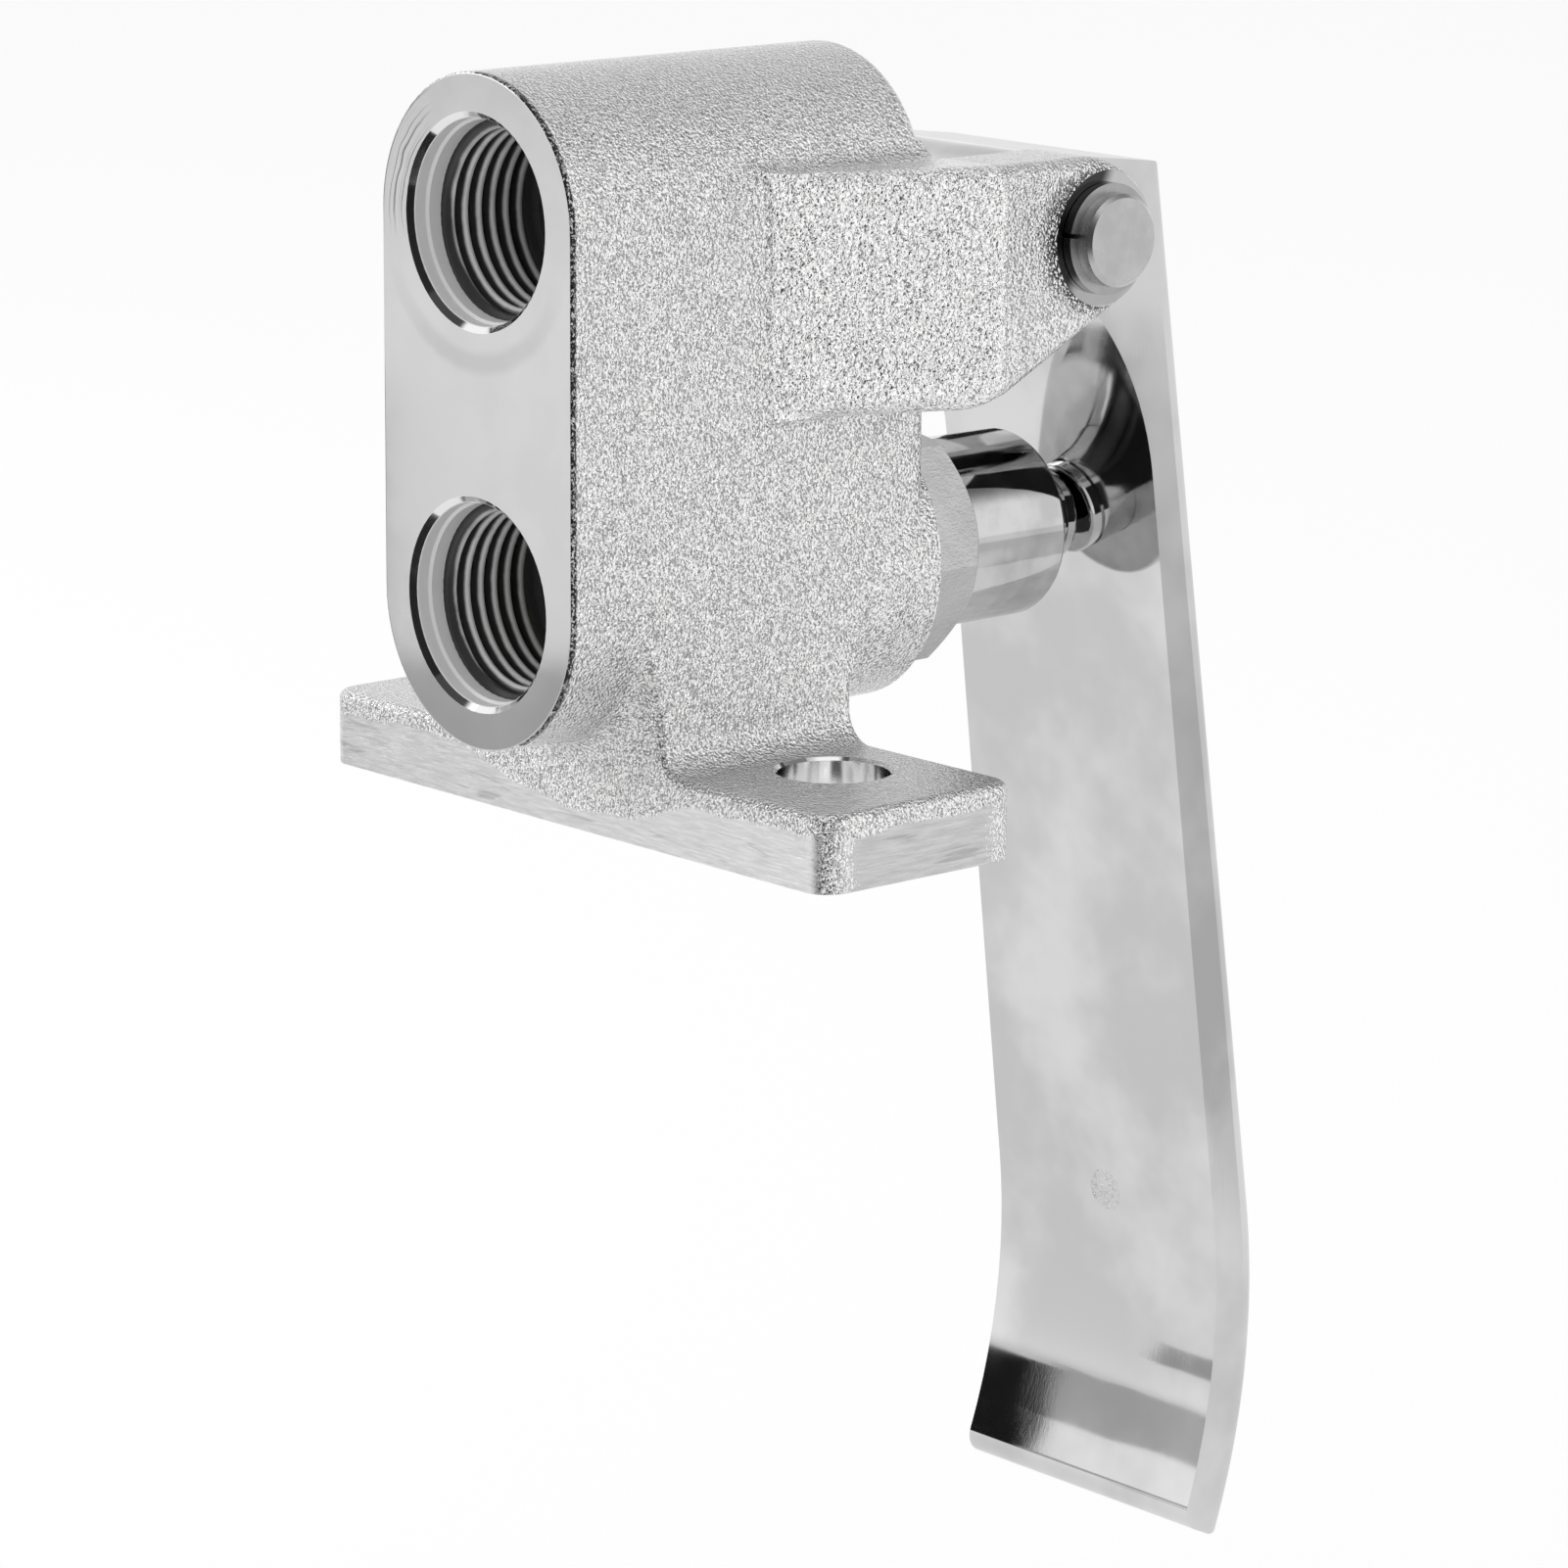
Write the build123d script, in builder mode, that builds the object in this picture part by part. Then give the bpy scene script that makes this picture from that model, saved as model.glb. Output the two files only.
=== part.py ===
from build123d import *
import os
from math import atan, cos, radians, sin, sqrt, tan

# Pedal-operated self-closing valve, in millimetres. The origin is the middle of the two bolt holes,
# on the underside of the mounting flange. +Z is up, the pipe ports face -Y, the pedal hangs on the +Y side.

# Mounting flange
flange_width = 82.6
flange_depth = 27.0
flange_thickness = 8.2
flange_front_from_holes = 15.6
flange_corner_radius = 3.0
flange_edge_radius = 1.0
bolt_hole_spacing = 50.3
bolt_hole_radius = 6.0
bolt_hole_chamfer = 0.35
pillar_fillet = 3.5

# Cast body: a stadium-shaped block that holds both pipe ports
port_spacing = 40.0
lower_port_height = 25.4
port_face_from_holes = 27.5
body_width = 31.0
body_depth = 49.2
port_face_edge_radius = 0.3
body_back_edge_radius = 1.5
neck_fillet = 3.0

# Pipe ports, G 1/2: the bore is cut to the thread's major radius
thread_major_radius = 10.48
thread_minor_radius = 9.32
thread_length = 13.7
port_recess_radius = 10.76
port_recess_depth = 2.3
port_recess_chamfer = 0.66

# Water passages in the casting
drill_run_out = 2.5
outlet_passage_radius = 7.0
riser_radius = 4.2
partition_thickness = 5.0
partition_bore_radius = 8.0
partition_from_thread = 9.5
chamber_radius = 11.0

# Round boss at the back, which takes the bonnet
boss_radius = 16.3
boss_rise = 1.6
boss_taper_length = 6.0

# Ears that carry the pedal
ear_top_rise = 1.1
ear_height = 25.8
ear_start_from_holes = 1.5
ear_spread = 26.0
ear_bend_from_back = 1.3
ear_root_depth = 1.5
ear_under_hollow = 1.1
ear_top_hollow = 3.0
ear_tip_radius = 7.7
ear_shoulder_radius = 12.0
ear_under_slope = 27.0
ear_knee_radius = 8.0
ear_bend_radius = 3.0
ear_edge_radius = 1.8
spot_face_radius = 7.3
spot_face_depth = 0.5

# Hinge pin and its split retaining rings
pin_from_holes = 37.7
pin_height = 60.9
pin_radius = 5.0
pin_end_chamfer = 0.4
pin_stand_out = 1.9
ring_radius = 6.0
ring_thickness = 1.1
ring_groove_depth = 0.8
ring_slit = 0.5
ring_slit_angle = 172.0

# Pedal
pedal_top_width = 32.4
pedal_foot_width = 36.8
pedal_thickness = 6.3
pedal_bend_thickness = 6.9
pedal_lean = 7.2
pedal_reach = 17.8
pedal_straight_below_pin = 116.4
pedal_bend_radius = 80.0
pedal_foot_angle = 21.5
pedal_edge_radius = 2.6
pedal_foot_edge_radius = 2.5
pedal_top_slope = 7.0
knuckle_radius = 8.0
scoop_radius = 34.0
scoop_above_rod = 6.5
pedal_bore_radius = 5.75
hinge_bush_radius = 6.5
hinge_bush_length = 9.0

# Bonnet, screwed into the boss
bonnet_across_flats = 24.0
bonnet_hex_length = 11.0
bonnet_hex_turn = -4.0
bonnet_spigot_length = 9.8
bonnet_web_length = 10.5
bonnet_neck_radius = 9.3
bonnet_neck_length = 6.0
spring_bore_radius = 7.9
bonnet_ring_wire = 1.6
bonnet_ring_from_end = 1.2
stem_ring_wire = 1.8
stem_ring_pitch = 3.6

# Polished cap over the spring
cap_radius = 10.5
cap_length = 13.3
cap_end_wall = 3.2
cap_edge_radius = 0.5
wiper_wire = 1.5

# Push rod and the collar that the spring bears on
rod_radius = 5.3
rod_tip_dome_radius = 20.0
rod_tip_edge_radius = 0.6
rod_tail_radius = 4.5
rod_tail_length = 13.2
rod_socket_depth = 8.0
rod_groove_depth = 0.3
rod_groove_width = 0.5
rod_groove_from_tip = 2.4
collar_radius = 7.6
collar_thickness = 2.2

# Return spring
spring_wire = 1.4
spring_radius = 6.6
spring_turns = 5.0
spring_washer_thickness = 1.0

# Valve spindle, disc and seat
spindle_radius = 4.0
spindle_waist_radius = 2.5
spindle_collar_radius = 3.6
spindle_collar_length = 1.4
spindle_stud_radius = 2.9
spindle_thread_radius = 2.0
spindle_thread_stick_out = 0.6
seat_bore_radius = 5.2
seat_lip_width = 1.0
seat_lip_height = 0.8
seat_flange_radius = 10.2
seat_flange_thickness = 1.5
seat_gasket_thickness = 0.6
disc_rubber_radius = 6.9
disc_rubber_thickness = 2.4
disc_holder_radius = 7.7
disc_holder_thickness = 1.8
disc_holder_rim = 1.6
disc_nut_across_flats = 7.0
disc_nut_thickness = 2.8

# Clearances
thread_clearance = 0.05
running_clearance = 0.05
hinge_running_clearance = 0.06
press_clearance = 0.02
pedal_side_clearance = 0.5
collar_stop_gap = 0.1
seal_gap = 0.02
rod_tip_gap = 0.25
ring_side_gap = 0.1

# How near two measured places must be to count as the same
near = 1e-3

# Places that follow from the sizes above
port_face_y = -port_face_from_holes
body_back_y = port_face_y + body_depth
boss_end_y = body_back_y + boss_rise
flange_front_y = -flange_front_from_holes
flange_back_y = flange_front_y + flange_depth
half_width = body_width / 2
rod_height = lower_port_height
upper_port_height = lower_port_height + port_spacing
ear_inner_x = pedal_top_width / 2 + pedal_side_clearance
ear_top_z = pin_height + ear_tip_radius + ear_top_rise
ear_bottom_z = ear_top_z - ear_height
ear_bend_y = body_back_y + ear_bend_from_back
ring_inner_x = ear_spread - spot_face_depth + ring_side_gap
pin_end_x = ring_inner_x + ring_thickness + pin_stand_out
recess_slope = port_recess_radius - thread_major_radius
recess_end_y = port_face_y + port_recess_depth - recess_slope
thread_end_y = port_face_y + port_recess_depth + thread_length
partition_front_y = thread_end_y + partition_from_thread
partition_back_y = partition_front_y + partition_thickness
bonnet_end_y = boss_end_y + bonnet_hex_length
cap_end_y = bonnet_end_y + cap_length
cap_wall_y = cap_end_y - cap_end_wall
collar_back_y = cap_wall_y - collar_stop_gap
rod_tail_y = collar_back_y - rod_tail_length
spigot_start_y = boss_end_y - bonnet_spigot_length
spring_seat_y = spigot_start_y + bonnet_web_length
seat_lip_y = partition_front_y - seat_lip_height
disc_face_y = seat_lip_y - seal_gap
riser_y = (partition_back_y + seat_gasket_thickness + seat_flange_thickness + spigot_start_y) / 2

rod_axis = Axis((0, 0, rod_height), (0, 1, 0))
upper_axis = Axis((0, 0, upper_port_height), (0, 1, 0))


def facing_back(y):
    """Sketch plane square to the ports at this depth, with Z up, that extrudes towards the pedal."""
    return Plane(origin=(0, y, 0), x_dir=(-1, 0, 0), z_dir=(0, 1, 0))


def turned(steps, height=lower_port_height, mode=Mode.ADD):
    """Half section of a turned piece: each step has a radius, and a start and an end along Y."""
    for radius, start, end in steps:
        with Locations((start, height)):
            Rectangle(end - start, radius, align=(Align.MIN, Align.MIN), mode=mode)


def recess_slope_section(height):
    """Half section of the slope that leads from a port's recess down to its thread."""
    with Locations((recess_end_y, height)):
        Polygon(
            (0, thread_major_radius),
            (recess_slope, thread_major_radius),
            (0, port_recess_radius),
            align=None,
        )


def ring_section(middle_y, inner_radius, wire):
    """Section of a round rubber ring about the rod's axis."""
    with Locations((middle_y, rod_height + inner_radius + wire / 2)):
        Circle(wire / 2)


# The pedal's side outline. Its inner face stands pedal_reach from the pin at the rod's height.
def across_lean(angle):
    """Direction square to a face that leans by this angle, away from the ports."""
    return Vector(0, cos(angle), sin(angle))


lean = radians(pedal_lean)
outward = across_lean(lean)
down = Vector(0, sin(lean), -cos(lean))
inner_at_rod = Vector(0, pin_from_holes + pedal_reach, rod_height)
inner_straight = (rod_height - pin_height + pedal_straight_below_pin) / cos(lean)
inner_bend_start = inner_at_rod + down * inner_straight

# The outer face leans a little more, because the plate is thicker at the bend.
outer_bend_start = inner_bend_start + outward * pedal_bend_thickness
outer_lean = lean + atan((pedal_bend_thickness - pedal_thickness) / inner_straight)
outer_across = across_lean(outer_lean)
foot = radians(-pedal_foot_angle)
inner_bend_radius = pedal_bend_radius - pedal_bend_thickness
outer_centre = outer_bend_start - outer_across * pedal_bend_radius
inner_centre = inner_bend_start - outward * inner_bend_radius
outer_bend_mid = outer_centre + across_lean((foot + outer_lean) / 2) * pedal_bend_radius
inner_bend_mid = inner_centre + across_lean((foot + lean) / 2) * inner_bend_radius
outer_foot = outer_centre + across_lean(foot) * pedal_bend_radius
inner_foot = inner_centre + across_lean(foot) * inner_bend_radius

# The scoop is an arc tangent to the inner face, which runs up into the knuckle round the pin.
pin_centre = Vector(0, pin_from_holes, pin_height)
scoop_start = inner_at_rod - down * (scoop_above_rod / cos(lean))
scoop_centre = scoop_start - outward * scoop_radius
to_pin = pin_centre - scoop_centre
along = (scoop_radius**2 - knuckle_radius**2 + to_pin.length**2) / (2 * to_pin.length)
across = sqrt(scoop_radius**2 - along**2)
pin_direction = to_pin.normalized()
side_direction = Vector(0, pin_direction.Z, -pin_direction.Y)
scoop_end = scoop_centre + pin_direction * along + side_direction * across
scoop_mid = scoop_centre + ((scoop_start + scoop_end) * 0.5 - scoop_centre).normalized() * scoop_radius

# The top slopes down from the knuckle to the outer face.
top_slope = radians(pedal_top_slope)
knuckle_top = pin_centre + Vector(0, sin(top_slope), cos(top_slope)) * knuckle_radius
rise = knuckle_top.Z - outer_bend_start.Z
run = outer_bend_start.Y - rise * tan(outer_lean) - knuckle_top.Y
top_run = run / (1 - tan(top_slope) * tan(outer_lean))
outer_top = knuckle_top + Vector(0, top_run, -top_run * tan(top_slope))
pedal_top_z = pin_height + knuckle_radius
pedal_foot_z = outer_foot.Z

# Rod: the domed tip stands rod_tip_gap clear of the pedal's inner face.
rod_tip_y = inner_at_rod.Y - rod_tip_gap / cos(lean) - rod_tip_dome_radius * (1 / cos(lean) - 1)
dome_height = rod_tip_dome_radius - sqrt(rod_tip_dome_radius**2 - rod_radius**2)


def yz(point):
    """The two coordinates of a point in the side view."""
    return (point.Y, point.Z)


# Foot of the casting: flange and pillar in one outline, with the fillets between them
with BuildPart() as foot_stock:
    with BuildSketch(facing_back(flange_front_y)):
        with Locations((0, 0)):
            Rectangle(flange_width, flange_thickness, align=(Align.CENTER, Align.MIN))
        with Locations((0, flange_thickness)):
            Rectangle(
                body_width,
                lower_port_height - flange_thickness,
                align=(Align.CENTER, Align.MIN),
            )
        for side in (-1, 1):
            corner_x = side * half_width
            with BuildLine():
                Line((corner_x, flange_thickness), (corner_x + side * pillar_fillet, flange_thickness))
                RadiusArc(
                    (corner_x + side * pillar_fillet, flange_thickness),
                    (corner_x, flange_thickness + pillar_fillet),
                    side * pillar_fillet,
                )
                Line((corner_x, flange_thickness + pillar_fillet), (corner_x, flange_thickness))
            make_face()
    extrude(amount=flange_depth)
    flange_ends = foot_stock.edges().filter_by(Axis.Z).group_by(Axis.X)
    fillet(flange_ends[0] + flange_ends[-1], radius=flange_corner_radius)
    # The rounding of the upper rim runs on, past the pillar's foot, up the pillar's corners.
    beyond_pillar = half_width + pillar_fillet
    upper_rim = [
        edge
        for edge in foot_stock.edges()
        if abs(edge.center().Z - flange_thickness) < near and abs(edge.center().X) > beyond_pillar
    ]
    fillet(upper_rim, radius=flange_edge_radius)

# Hollow fillets where the round ends of the body run out of the pillar, in front and behind.
# They start inside the pillar, so that its rounded corners leave no notch beside them.
with BuildPart() as neck_stock:
    inner_z = rod_height + half_width
    for plane_y, way in ((flange_front_y, -1), (flange_back_y, 1)):
        root_y = plane_y - way * flange_edge_radius
        with BuildSketch(Plane.YZ):
            with BuildLine():
                Line((plane_y + way * neck_fillet, inner_z), (root_y, inner_z))
                Line((root_y, inner_z), (root_y, inner_z + neck_fillet))
                Line((root_y, inner_z + neck_fillet), (plane_y, inner_z + neck_fillet))
                RadiusArc(
                    (plane_y, inner_z + neck_fillet),
                    (plane_y + way * neck_fillet, inner_z),
                    -way * neck_fillet,
                )
            make_face()
        revolve(axis=rod_axis)
    with BuildSketch(facing_back(port_face_y)):
        with Locations((0, rod_height)):
            Rectangle(body_width, 2 * (boss_radius + neck_fillet), align=(Align.CENTER, Align.CENTER))
    extrude(amount=body_depth, mode=Mode.INTERSECT)

# Ears: the side outline crossed with the plan outline, with the gap for the pedal cut out.
# Their slanting flanks start inside the body, so they leave its sides cleanly.
ear_root_x = half_width - ear_root_depth
ear_flank_slope = (ear_bend_y + ear_start_from_holes) / (ear_spread - half_width)
ear_root_y = -ear_start_from_holes - ear_root_depth * ear_flank_slope
ear_end_y = pin_from_holes + ear_tip_radius
ear_plan = [
    (0, ear_root_y),
    (ear_root_x, ear_root_y),
    (ear_spread, ear_bend_y),
    (ear_spread, ear_end_y),
    (ear_inner_x, ear_end_y),
    (ear_inner_x, body_back_y),
    (0, body_back_y),
    (0, ear_root_y),
]
with BuildPart() as ear_stock:
    with BuildSketch(Plane.YZ.offset(-ear_spread)) as ear_side:
        slope = radians(ear_under_slope)
        tip_lower = (pin_from_holes + ear_tip_radius * sin(slope), pin_height - ear_tip_radius * cos(slope))
        knee_y = tip_lower[0] - (tip_lower[1] - ear_bottom_z) / tan(slope)
        radius_step = ear_shoulder_radius - ear_tip_radius
        shoulder_back = sqrt(ear_top_rise * (2 * radius_step - ear_top_rise))
        shoulder = (
            pin_from_holes + ear_tip_radius * shoulder_back / radius_step,
            pin_height + ear_tip_radius * (radius_step - ear_top_rise) / radius_step,
        )
        with BuildLine():
            Line((ear_root_y, ear_bottom_z), (knee_y, ear_bottom_z))
            Line((knee_y, ear_bottom_z), tip_lower)
            tip = TangentArc(tip_lower, shoulder, tangent=(cos(slope), sin(slope)))
            TangentArc(shoulder, (pin_from_holes - shoulder_back, ear_top_z), tangent=tip % 1)
            Line((pin_from_holes - shoulder_back, ear_top_z), (ear_root_y, ear_top_z))
            Line((ear_root_y, ear_top_z), (ear_root_y, ear_bottom_z))
        make_face()
        knee = [corner for corner in ear_side.vertices() if abs(corner.X - knee_y) < near]
        fillet(knee, radius=ear_knee_radius)
    extrude(amount=2 * ear_spread)
    with BuildSketch(Plane.XY.offset(ear_bottom_z)):
        with BuildLine():
            Polyline(*ear_plan)
        make_face()
        mirror(about=Plane.YZ)
    extrude(amount=ear_height, mode=Mode.INTERSECT)
    bend = [
        edge
        for edge in ear_stock.edges().filter_by(Axis.Z)
        if abs(abs(edge.center().X) - ear_spread) < near and abs(edge.center().Y - ear_bend_y) < near
    ]
    fillet(bend, radius=ear_bend_radius)
    outer_faces = ear_stock.faces().filter_by(Axis.X).sort_by(Axis.X)
    rim = outer_faces[0].edges().filter_by(Axis.Z, reverse=True) + outer_faces[-1].edges().filter_by(
        Axis.Z, reverse=True
    )
    fillet(rim, radius=ear_edge_radius)

# Hollow corners where the ears leave the body: a wide one above them and a narrow one below
with BuildPart() as ear_hollow_stock:
    centre_rise = ear_top_z + ear_top_hollow - upper_port_height
    centre_x = sqrt((half_width + ear_top_hollow) ** 2 - centre_rise**2)
    share = half_width / (half_width + ear_top_hollow)
    top_start = (centre_x, ear_top_z)
    top_end = (centre_x * share, upper_port_height + centre_rise * share)
    under_start = (half_width, ear_bottom_z - ear_under_hollow)
    under_end = (half_width + ear_under_hollow, ear_bottom_z)
    with BuildSketch(facing_back(ear_root_y)):
        with BuildLine():
            RadiusArc(top_start, top_end, ear_top_hollow)
            Polyline(
                top_end,
                (ear_root_x, ear_top_z - ear_edge_radius),
                (centre_x, ear_top_z - ear_edge_radius),
                top_start,
            )
        make_face()
        with BuildLine():
            RadiusArc(under_start, under_end, ear_under_hollow)
            Polyline(
                under_end,
                (under_end[0], ear_bottom_z + ear_edge_radius),
                (ear_root_x, ear_bottom_z + ear_edge_radius),
                (ear_root_x, under_start[1]),
                under_start,
            )
        make_face()
        mirror(about=Plane.YZ)
    extrude(amount=body_back_y - ear_root_y)
    with BuildSketch(Plane.XY):
        with BuildLine():
            Polyline(*ear_plan)
        make_face()
        mirror(about=Plane.YZ)
    extrude(amount=ear_top_z + half_width, mode=Mode.INTERSECT)

# Valve body: the casting with its ports, passages, pin holes and bolt holes
with BuildPart() as valve_body:
    with BuildSketch(facing_back(port_face_y)):
        with Locations((0, (lower_port_height + upper_port_height) / 2)):
            SlotCenterToCenter(port_spacing, body_width, rotation=90)
    extrude(amount=body_depth)
    fillet(valve_body.faces().sort_by(Axis.Y)[0].edges(), radius=port_face_edge_radius)
    fillet(valve_body.faces().sort_by(Axis.Y)[-1].edges(), radius=body_back_edge_radius)

    add(ear_stock.part)
    add(ear_hollow_stock.part)

    # Pillar, and the round boss that swells out behind it
    with BuildSketch(facing_back(flange_front_y)):
        with Locations((0, rod_height)):
            Circle(half_width)
    extrude(amount=flange_depth)
    with BuildSketch(Plane.YZ):
        with BuildLine():
            Polyline(
                (flange_back_y, rod_height),
                (flange_back_y, rod_height + half_width),
                (flange_back_y + boss_taper_length, rod_height + boss_radius),
                (boss_end_y, rod_height + boss_radius),
                (boss_end_y, rod_height),
                (flange_back_y, rod_height),
            )
        make_face()
    revolve(axis=rod_axis)
    add(foot_stock.part)
    add(neck_stock.part)

    # Lower port, seat bore and valve chamber
    with BuildSketch(Plane.YZ):
        turned(
            [
                (port_recess_radius, port_face_y, recess_end_y),
                (thread_major_radius, port_face_y, thread_end_y),
                (thread_minor_radius, port_face_y, partition_front_y),
                (partition_bore_radius, port_face_y, partition_back_y),
                (chamber_radius, partition_back_y, boss_end_y),
            ]
        )
        recess_slope_section(lower_port_height)
    revolve(axis=rod_axis, mode=Mode.SUBTRACT)

    # Upper port and its passage
    with BuildSketch(Plane.YZ):
        turned(
            [
                (port_recess_radius, port_face_y, recess_end_y),
                (thread_major_radius, port_face_y, thread_end_y),
                (thread_minor_radius, port_face_y, thread_end_y + drill_run_out),
                (outlet_passage_radius, port_face_y, riser_y + riser_radius),
            ],
            upper_port_height,
        )
        recess_slope_section(upper_port_height)
    revolve(axis=upper_axis, mode=Mode.SUBTRACT)

    # Riser between the valve chamber and the upper port
    with BuildSketch(Plane.XY.offset(rod_height)):
        with Locations((0, riser_y)):
            Circle(riser_radius)
    extrude(amount=port_spacing, mode=Mode.SUBTRACT)

    # Pin holes with their spot faces
    with BuildSketch(Plane.YZ.offset(-ear_spread)):
        with Locations((pin_from_holes, pin_height)):
            Circle(pin_radius + running_clearance)
    extrude(amount=2 * ear_spread, mode=Mode.SUBTRACT)
    for side in (-1, 1):
        with BuildSketch(Plane.YZ.offset(side * (ear_spread - spot_face_depth))):
            with Locations((pin_from_holes, pin_height)):
                Circle(spot_face_radius)
        extrude(amount=side * 2 * spot_face_depth, mode=Mode.SUBTRACT)

    # Bolt holes
    with BuildSketch(Plane.XY):
        with GridLocations(bolt_hole_spacing, 0, 2, 1):
            Circle(bolt_hole_radius)
    extrude(amount=flange_thickness, mode=Mode.SUBTRACT)
    bolt_rims = [
        edge
        for edge in valve_body.edges().filter_by(GeomType.CIRCLE)
        if abs(edge.radius - bolt_hole_radius) < near and abs(edge.center().Z) < flange_thickness + near
    ]
    chamfer(bolt_rims, length=bolt_hole_chamfer)
    mouth_rims = [
        edge
        for edge in valve_body.edges().filter_by(GeomType.CIRCLE)
        if abs(edge.radius - port_recess_radius) < near and abs(edge.center().Y - port_face_y) < near
    ]
    chamfer(mouth_rims, length=port_recess_chamfer)

# Seat ring, screwed into the partition, with its sealing lip towards the lower port
seat_flange_y = partition_back_y + seat_gasket_thickness
with BuildPart() as seat_ring:
    with BuildSketch(Plane.YZ):
        turned(
            [
                (seat_bore_radius + seat_lip_width, seat_lip_y, partition_front_y),
                (partition_bore_radius - thread_clearance, partition_front_y, seat_flange_y),
                (seat_flange_radius, seat_flange_y, seat_flange_y + seat_flange_thickness),
            ]
        )
        turned([(seat_bore_radius, seat_lip_y, seat_flange_y + seat_flange_thickness)], mode=Mode.SUBTRACT)
    revolve(axis=rod_axis)

with BuildPart() as seat_gasket:
    with BuildSketch(Plane.YZ):
        turned([(seat_flange_radius, partition_back_y, seat_flange_y)])
        turned([(partition_bore_radius, partition_back_y, seat_flange_y)], mode=Mode.SUBTRACT)
    revolve(axis=rod_axis)

# Bonnet: a hexagon with a screwed spigot, a web that seals the spindle, and a neck for the cap
bonnet_corner_radius = bonnet_across_flats / 2 / cos(radians(30))
spigot_radius = chamber_radius - thread_clearance
spindle_hole_radius = spindle_radius + running_clearance
bonnet_ring_y = spigot_start_y + bonnet_ring_from_end + bonnet_ring_wire / 2
bonnet_ring_inner = chamber_radius - press_clearance - bonnet_ring_wire
stem_ring_middle_y = spigot_start_y + bonnet_web_length / 2
stem_ring_ys = (stem_ring_middle_y - stem_ring_pitch / 2, stem_ring_middle_y + stem_ring_pitch / 2)
with BuildPart() as bonnet:
    with BuildSketch(Plane.XZ.offset(-boss_end_y)):
        with Locations((0, rod_height)):
            RegularPolygon(bonnet_corner_radius, 6, rotation=bonnet_hex_turn)
    extrude(amount=-bonnet_hex_length)
    with BuildSketch(Plane.YZ):
        bevel = bonnet_corner_radius - cap_radius + running_clearance
        with BuildLine():
            Polyline(
                (bonnet_end_y, rod_height + cap_radius),
                (bonnet_end_y, rod_height + cap_radius + bevel),
                (bonnet_end_y - bevel, rod_height + cap_radius + bevel),
                (bonnet_end_y, rod_height + cap_radius),
            )
        make_face()
    revolve(axis=rod_axis, mode=Mode.SUBTRACT)
    with BuildSketch(Plane.YZ):
        turned(
            [
                (spigot_radius, spigot_start_y, boss_end_y),
                (bonnet_neck_radius, bonnet_end_y, bonnet_end_y + bonnet_neck_length),
            ]
        )
    revolve(axis=rod_axis)
    with BuildSketch(Plane.YZ):
        turned(
            [
                (spindle_hole_radius, spigot_start_y, spring_seat_y),
                (spring_bore_radius, spring_seat_y, bonnet_end_y + bonnet_neck_length),
            ]
        )
        for middle_y in stem_ring_ys:
            half_groove = stem_ring_wire / 2 + thread_clearance
            groove_floor = spindle_hole_radius + stem_ring_wire + press_clearance
            turned([(groove_floor, middle_y - half_groove, middle_y + half_groove)])
    revolve(axis=rod_axis, mode=Mode.SUBTRACT)
    with BuildSketch(Plane.YZ):
        groove_floor = bonnet_ring_inner - press_clearance
        with Locations((bonnet_ring_y, rod_height + groove_floor)):
            Rectangle(
                bonnet_ring_wire + 2 * thread_clearance,
                chamber_radius - groove_floor,
                align=(Align.CENTER, Align.MIN),
            )
    revolve(axis=rod_axis, mode=Mode.SUBTRACT)

with BuildPart() as bonnet_ring:
    with BuildSketch(Plane.YZ):
        ring_section(bonnet_ring_y, bonnet_ring_inner, bonnet_ring_wire)
    revolve(axis=rod_axis)

with BuildPart() as stem_ring_front:
    with BuildSketch(Plane.YZ):
        ring_section(stem_ring_ys[0], spindle_hole_radius, stem_ring_wire)
    revolve(axis=rod_axis)

with BuildPart() as stem_ring_back:
    with BuildSketch(Plane.YZ):
        ring_section(stem_ring_ys[1], spindle_hole_radius, stem_ring_wire)
    revolve(axis=rod_axis)

# Polished cap, screwed on the bonnet's neck, whose end wall guides the rod
rod_hole_radius = rod_radius + running_clearance
wiper_y = (cap_wall_y + cap_end_y) / 2
with BuildPart() as spring_cap:
    with BuildSketch(Plane.YZ):
        turned([(cap_radius, bonnet_end_y, cap_end_y)])
        turned(
            [
                (bonnet_neck_radius + thread_clearance, bonnet_end_y, bonnet_end_y + bonnet_neck_length),
                (spring_bore_radius, bonnet_end_y, cap_wall_y),
                (rod_hole_radius, bonnet_end_y, cap_end_y),
                (
                    rod_hole_radius + wiper_wire + press_clearance,
                    wiper_y - wiper_wire / 2 - thread_clearance,
                    wiper_y + wiper_wire / 2 + thread_clearance,
                ),
            ],
            mode=Mode.SUBTRACT,
        )
    revolve(axis=rod_axis)
    outer_rim = spring_cap.edges().group_by(Axis.Y)[-1].sort_by(SortBy.LENGTH)[-1]
    fillet(outer_rim, radius=cap_edge_radius)

with BuildPart() as rod_wiper:
    with BuildSketch(Plane.YZ):
        ring_section(wiper_y, rod_hole_radius, wiper_wire)
    revolve(axis=rod_axis)

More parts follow.
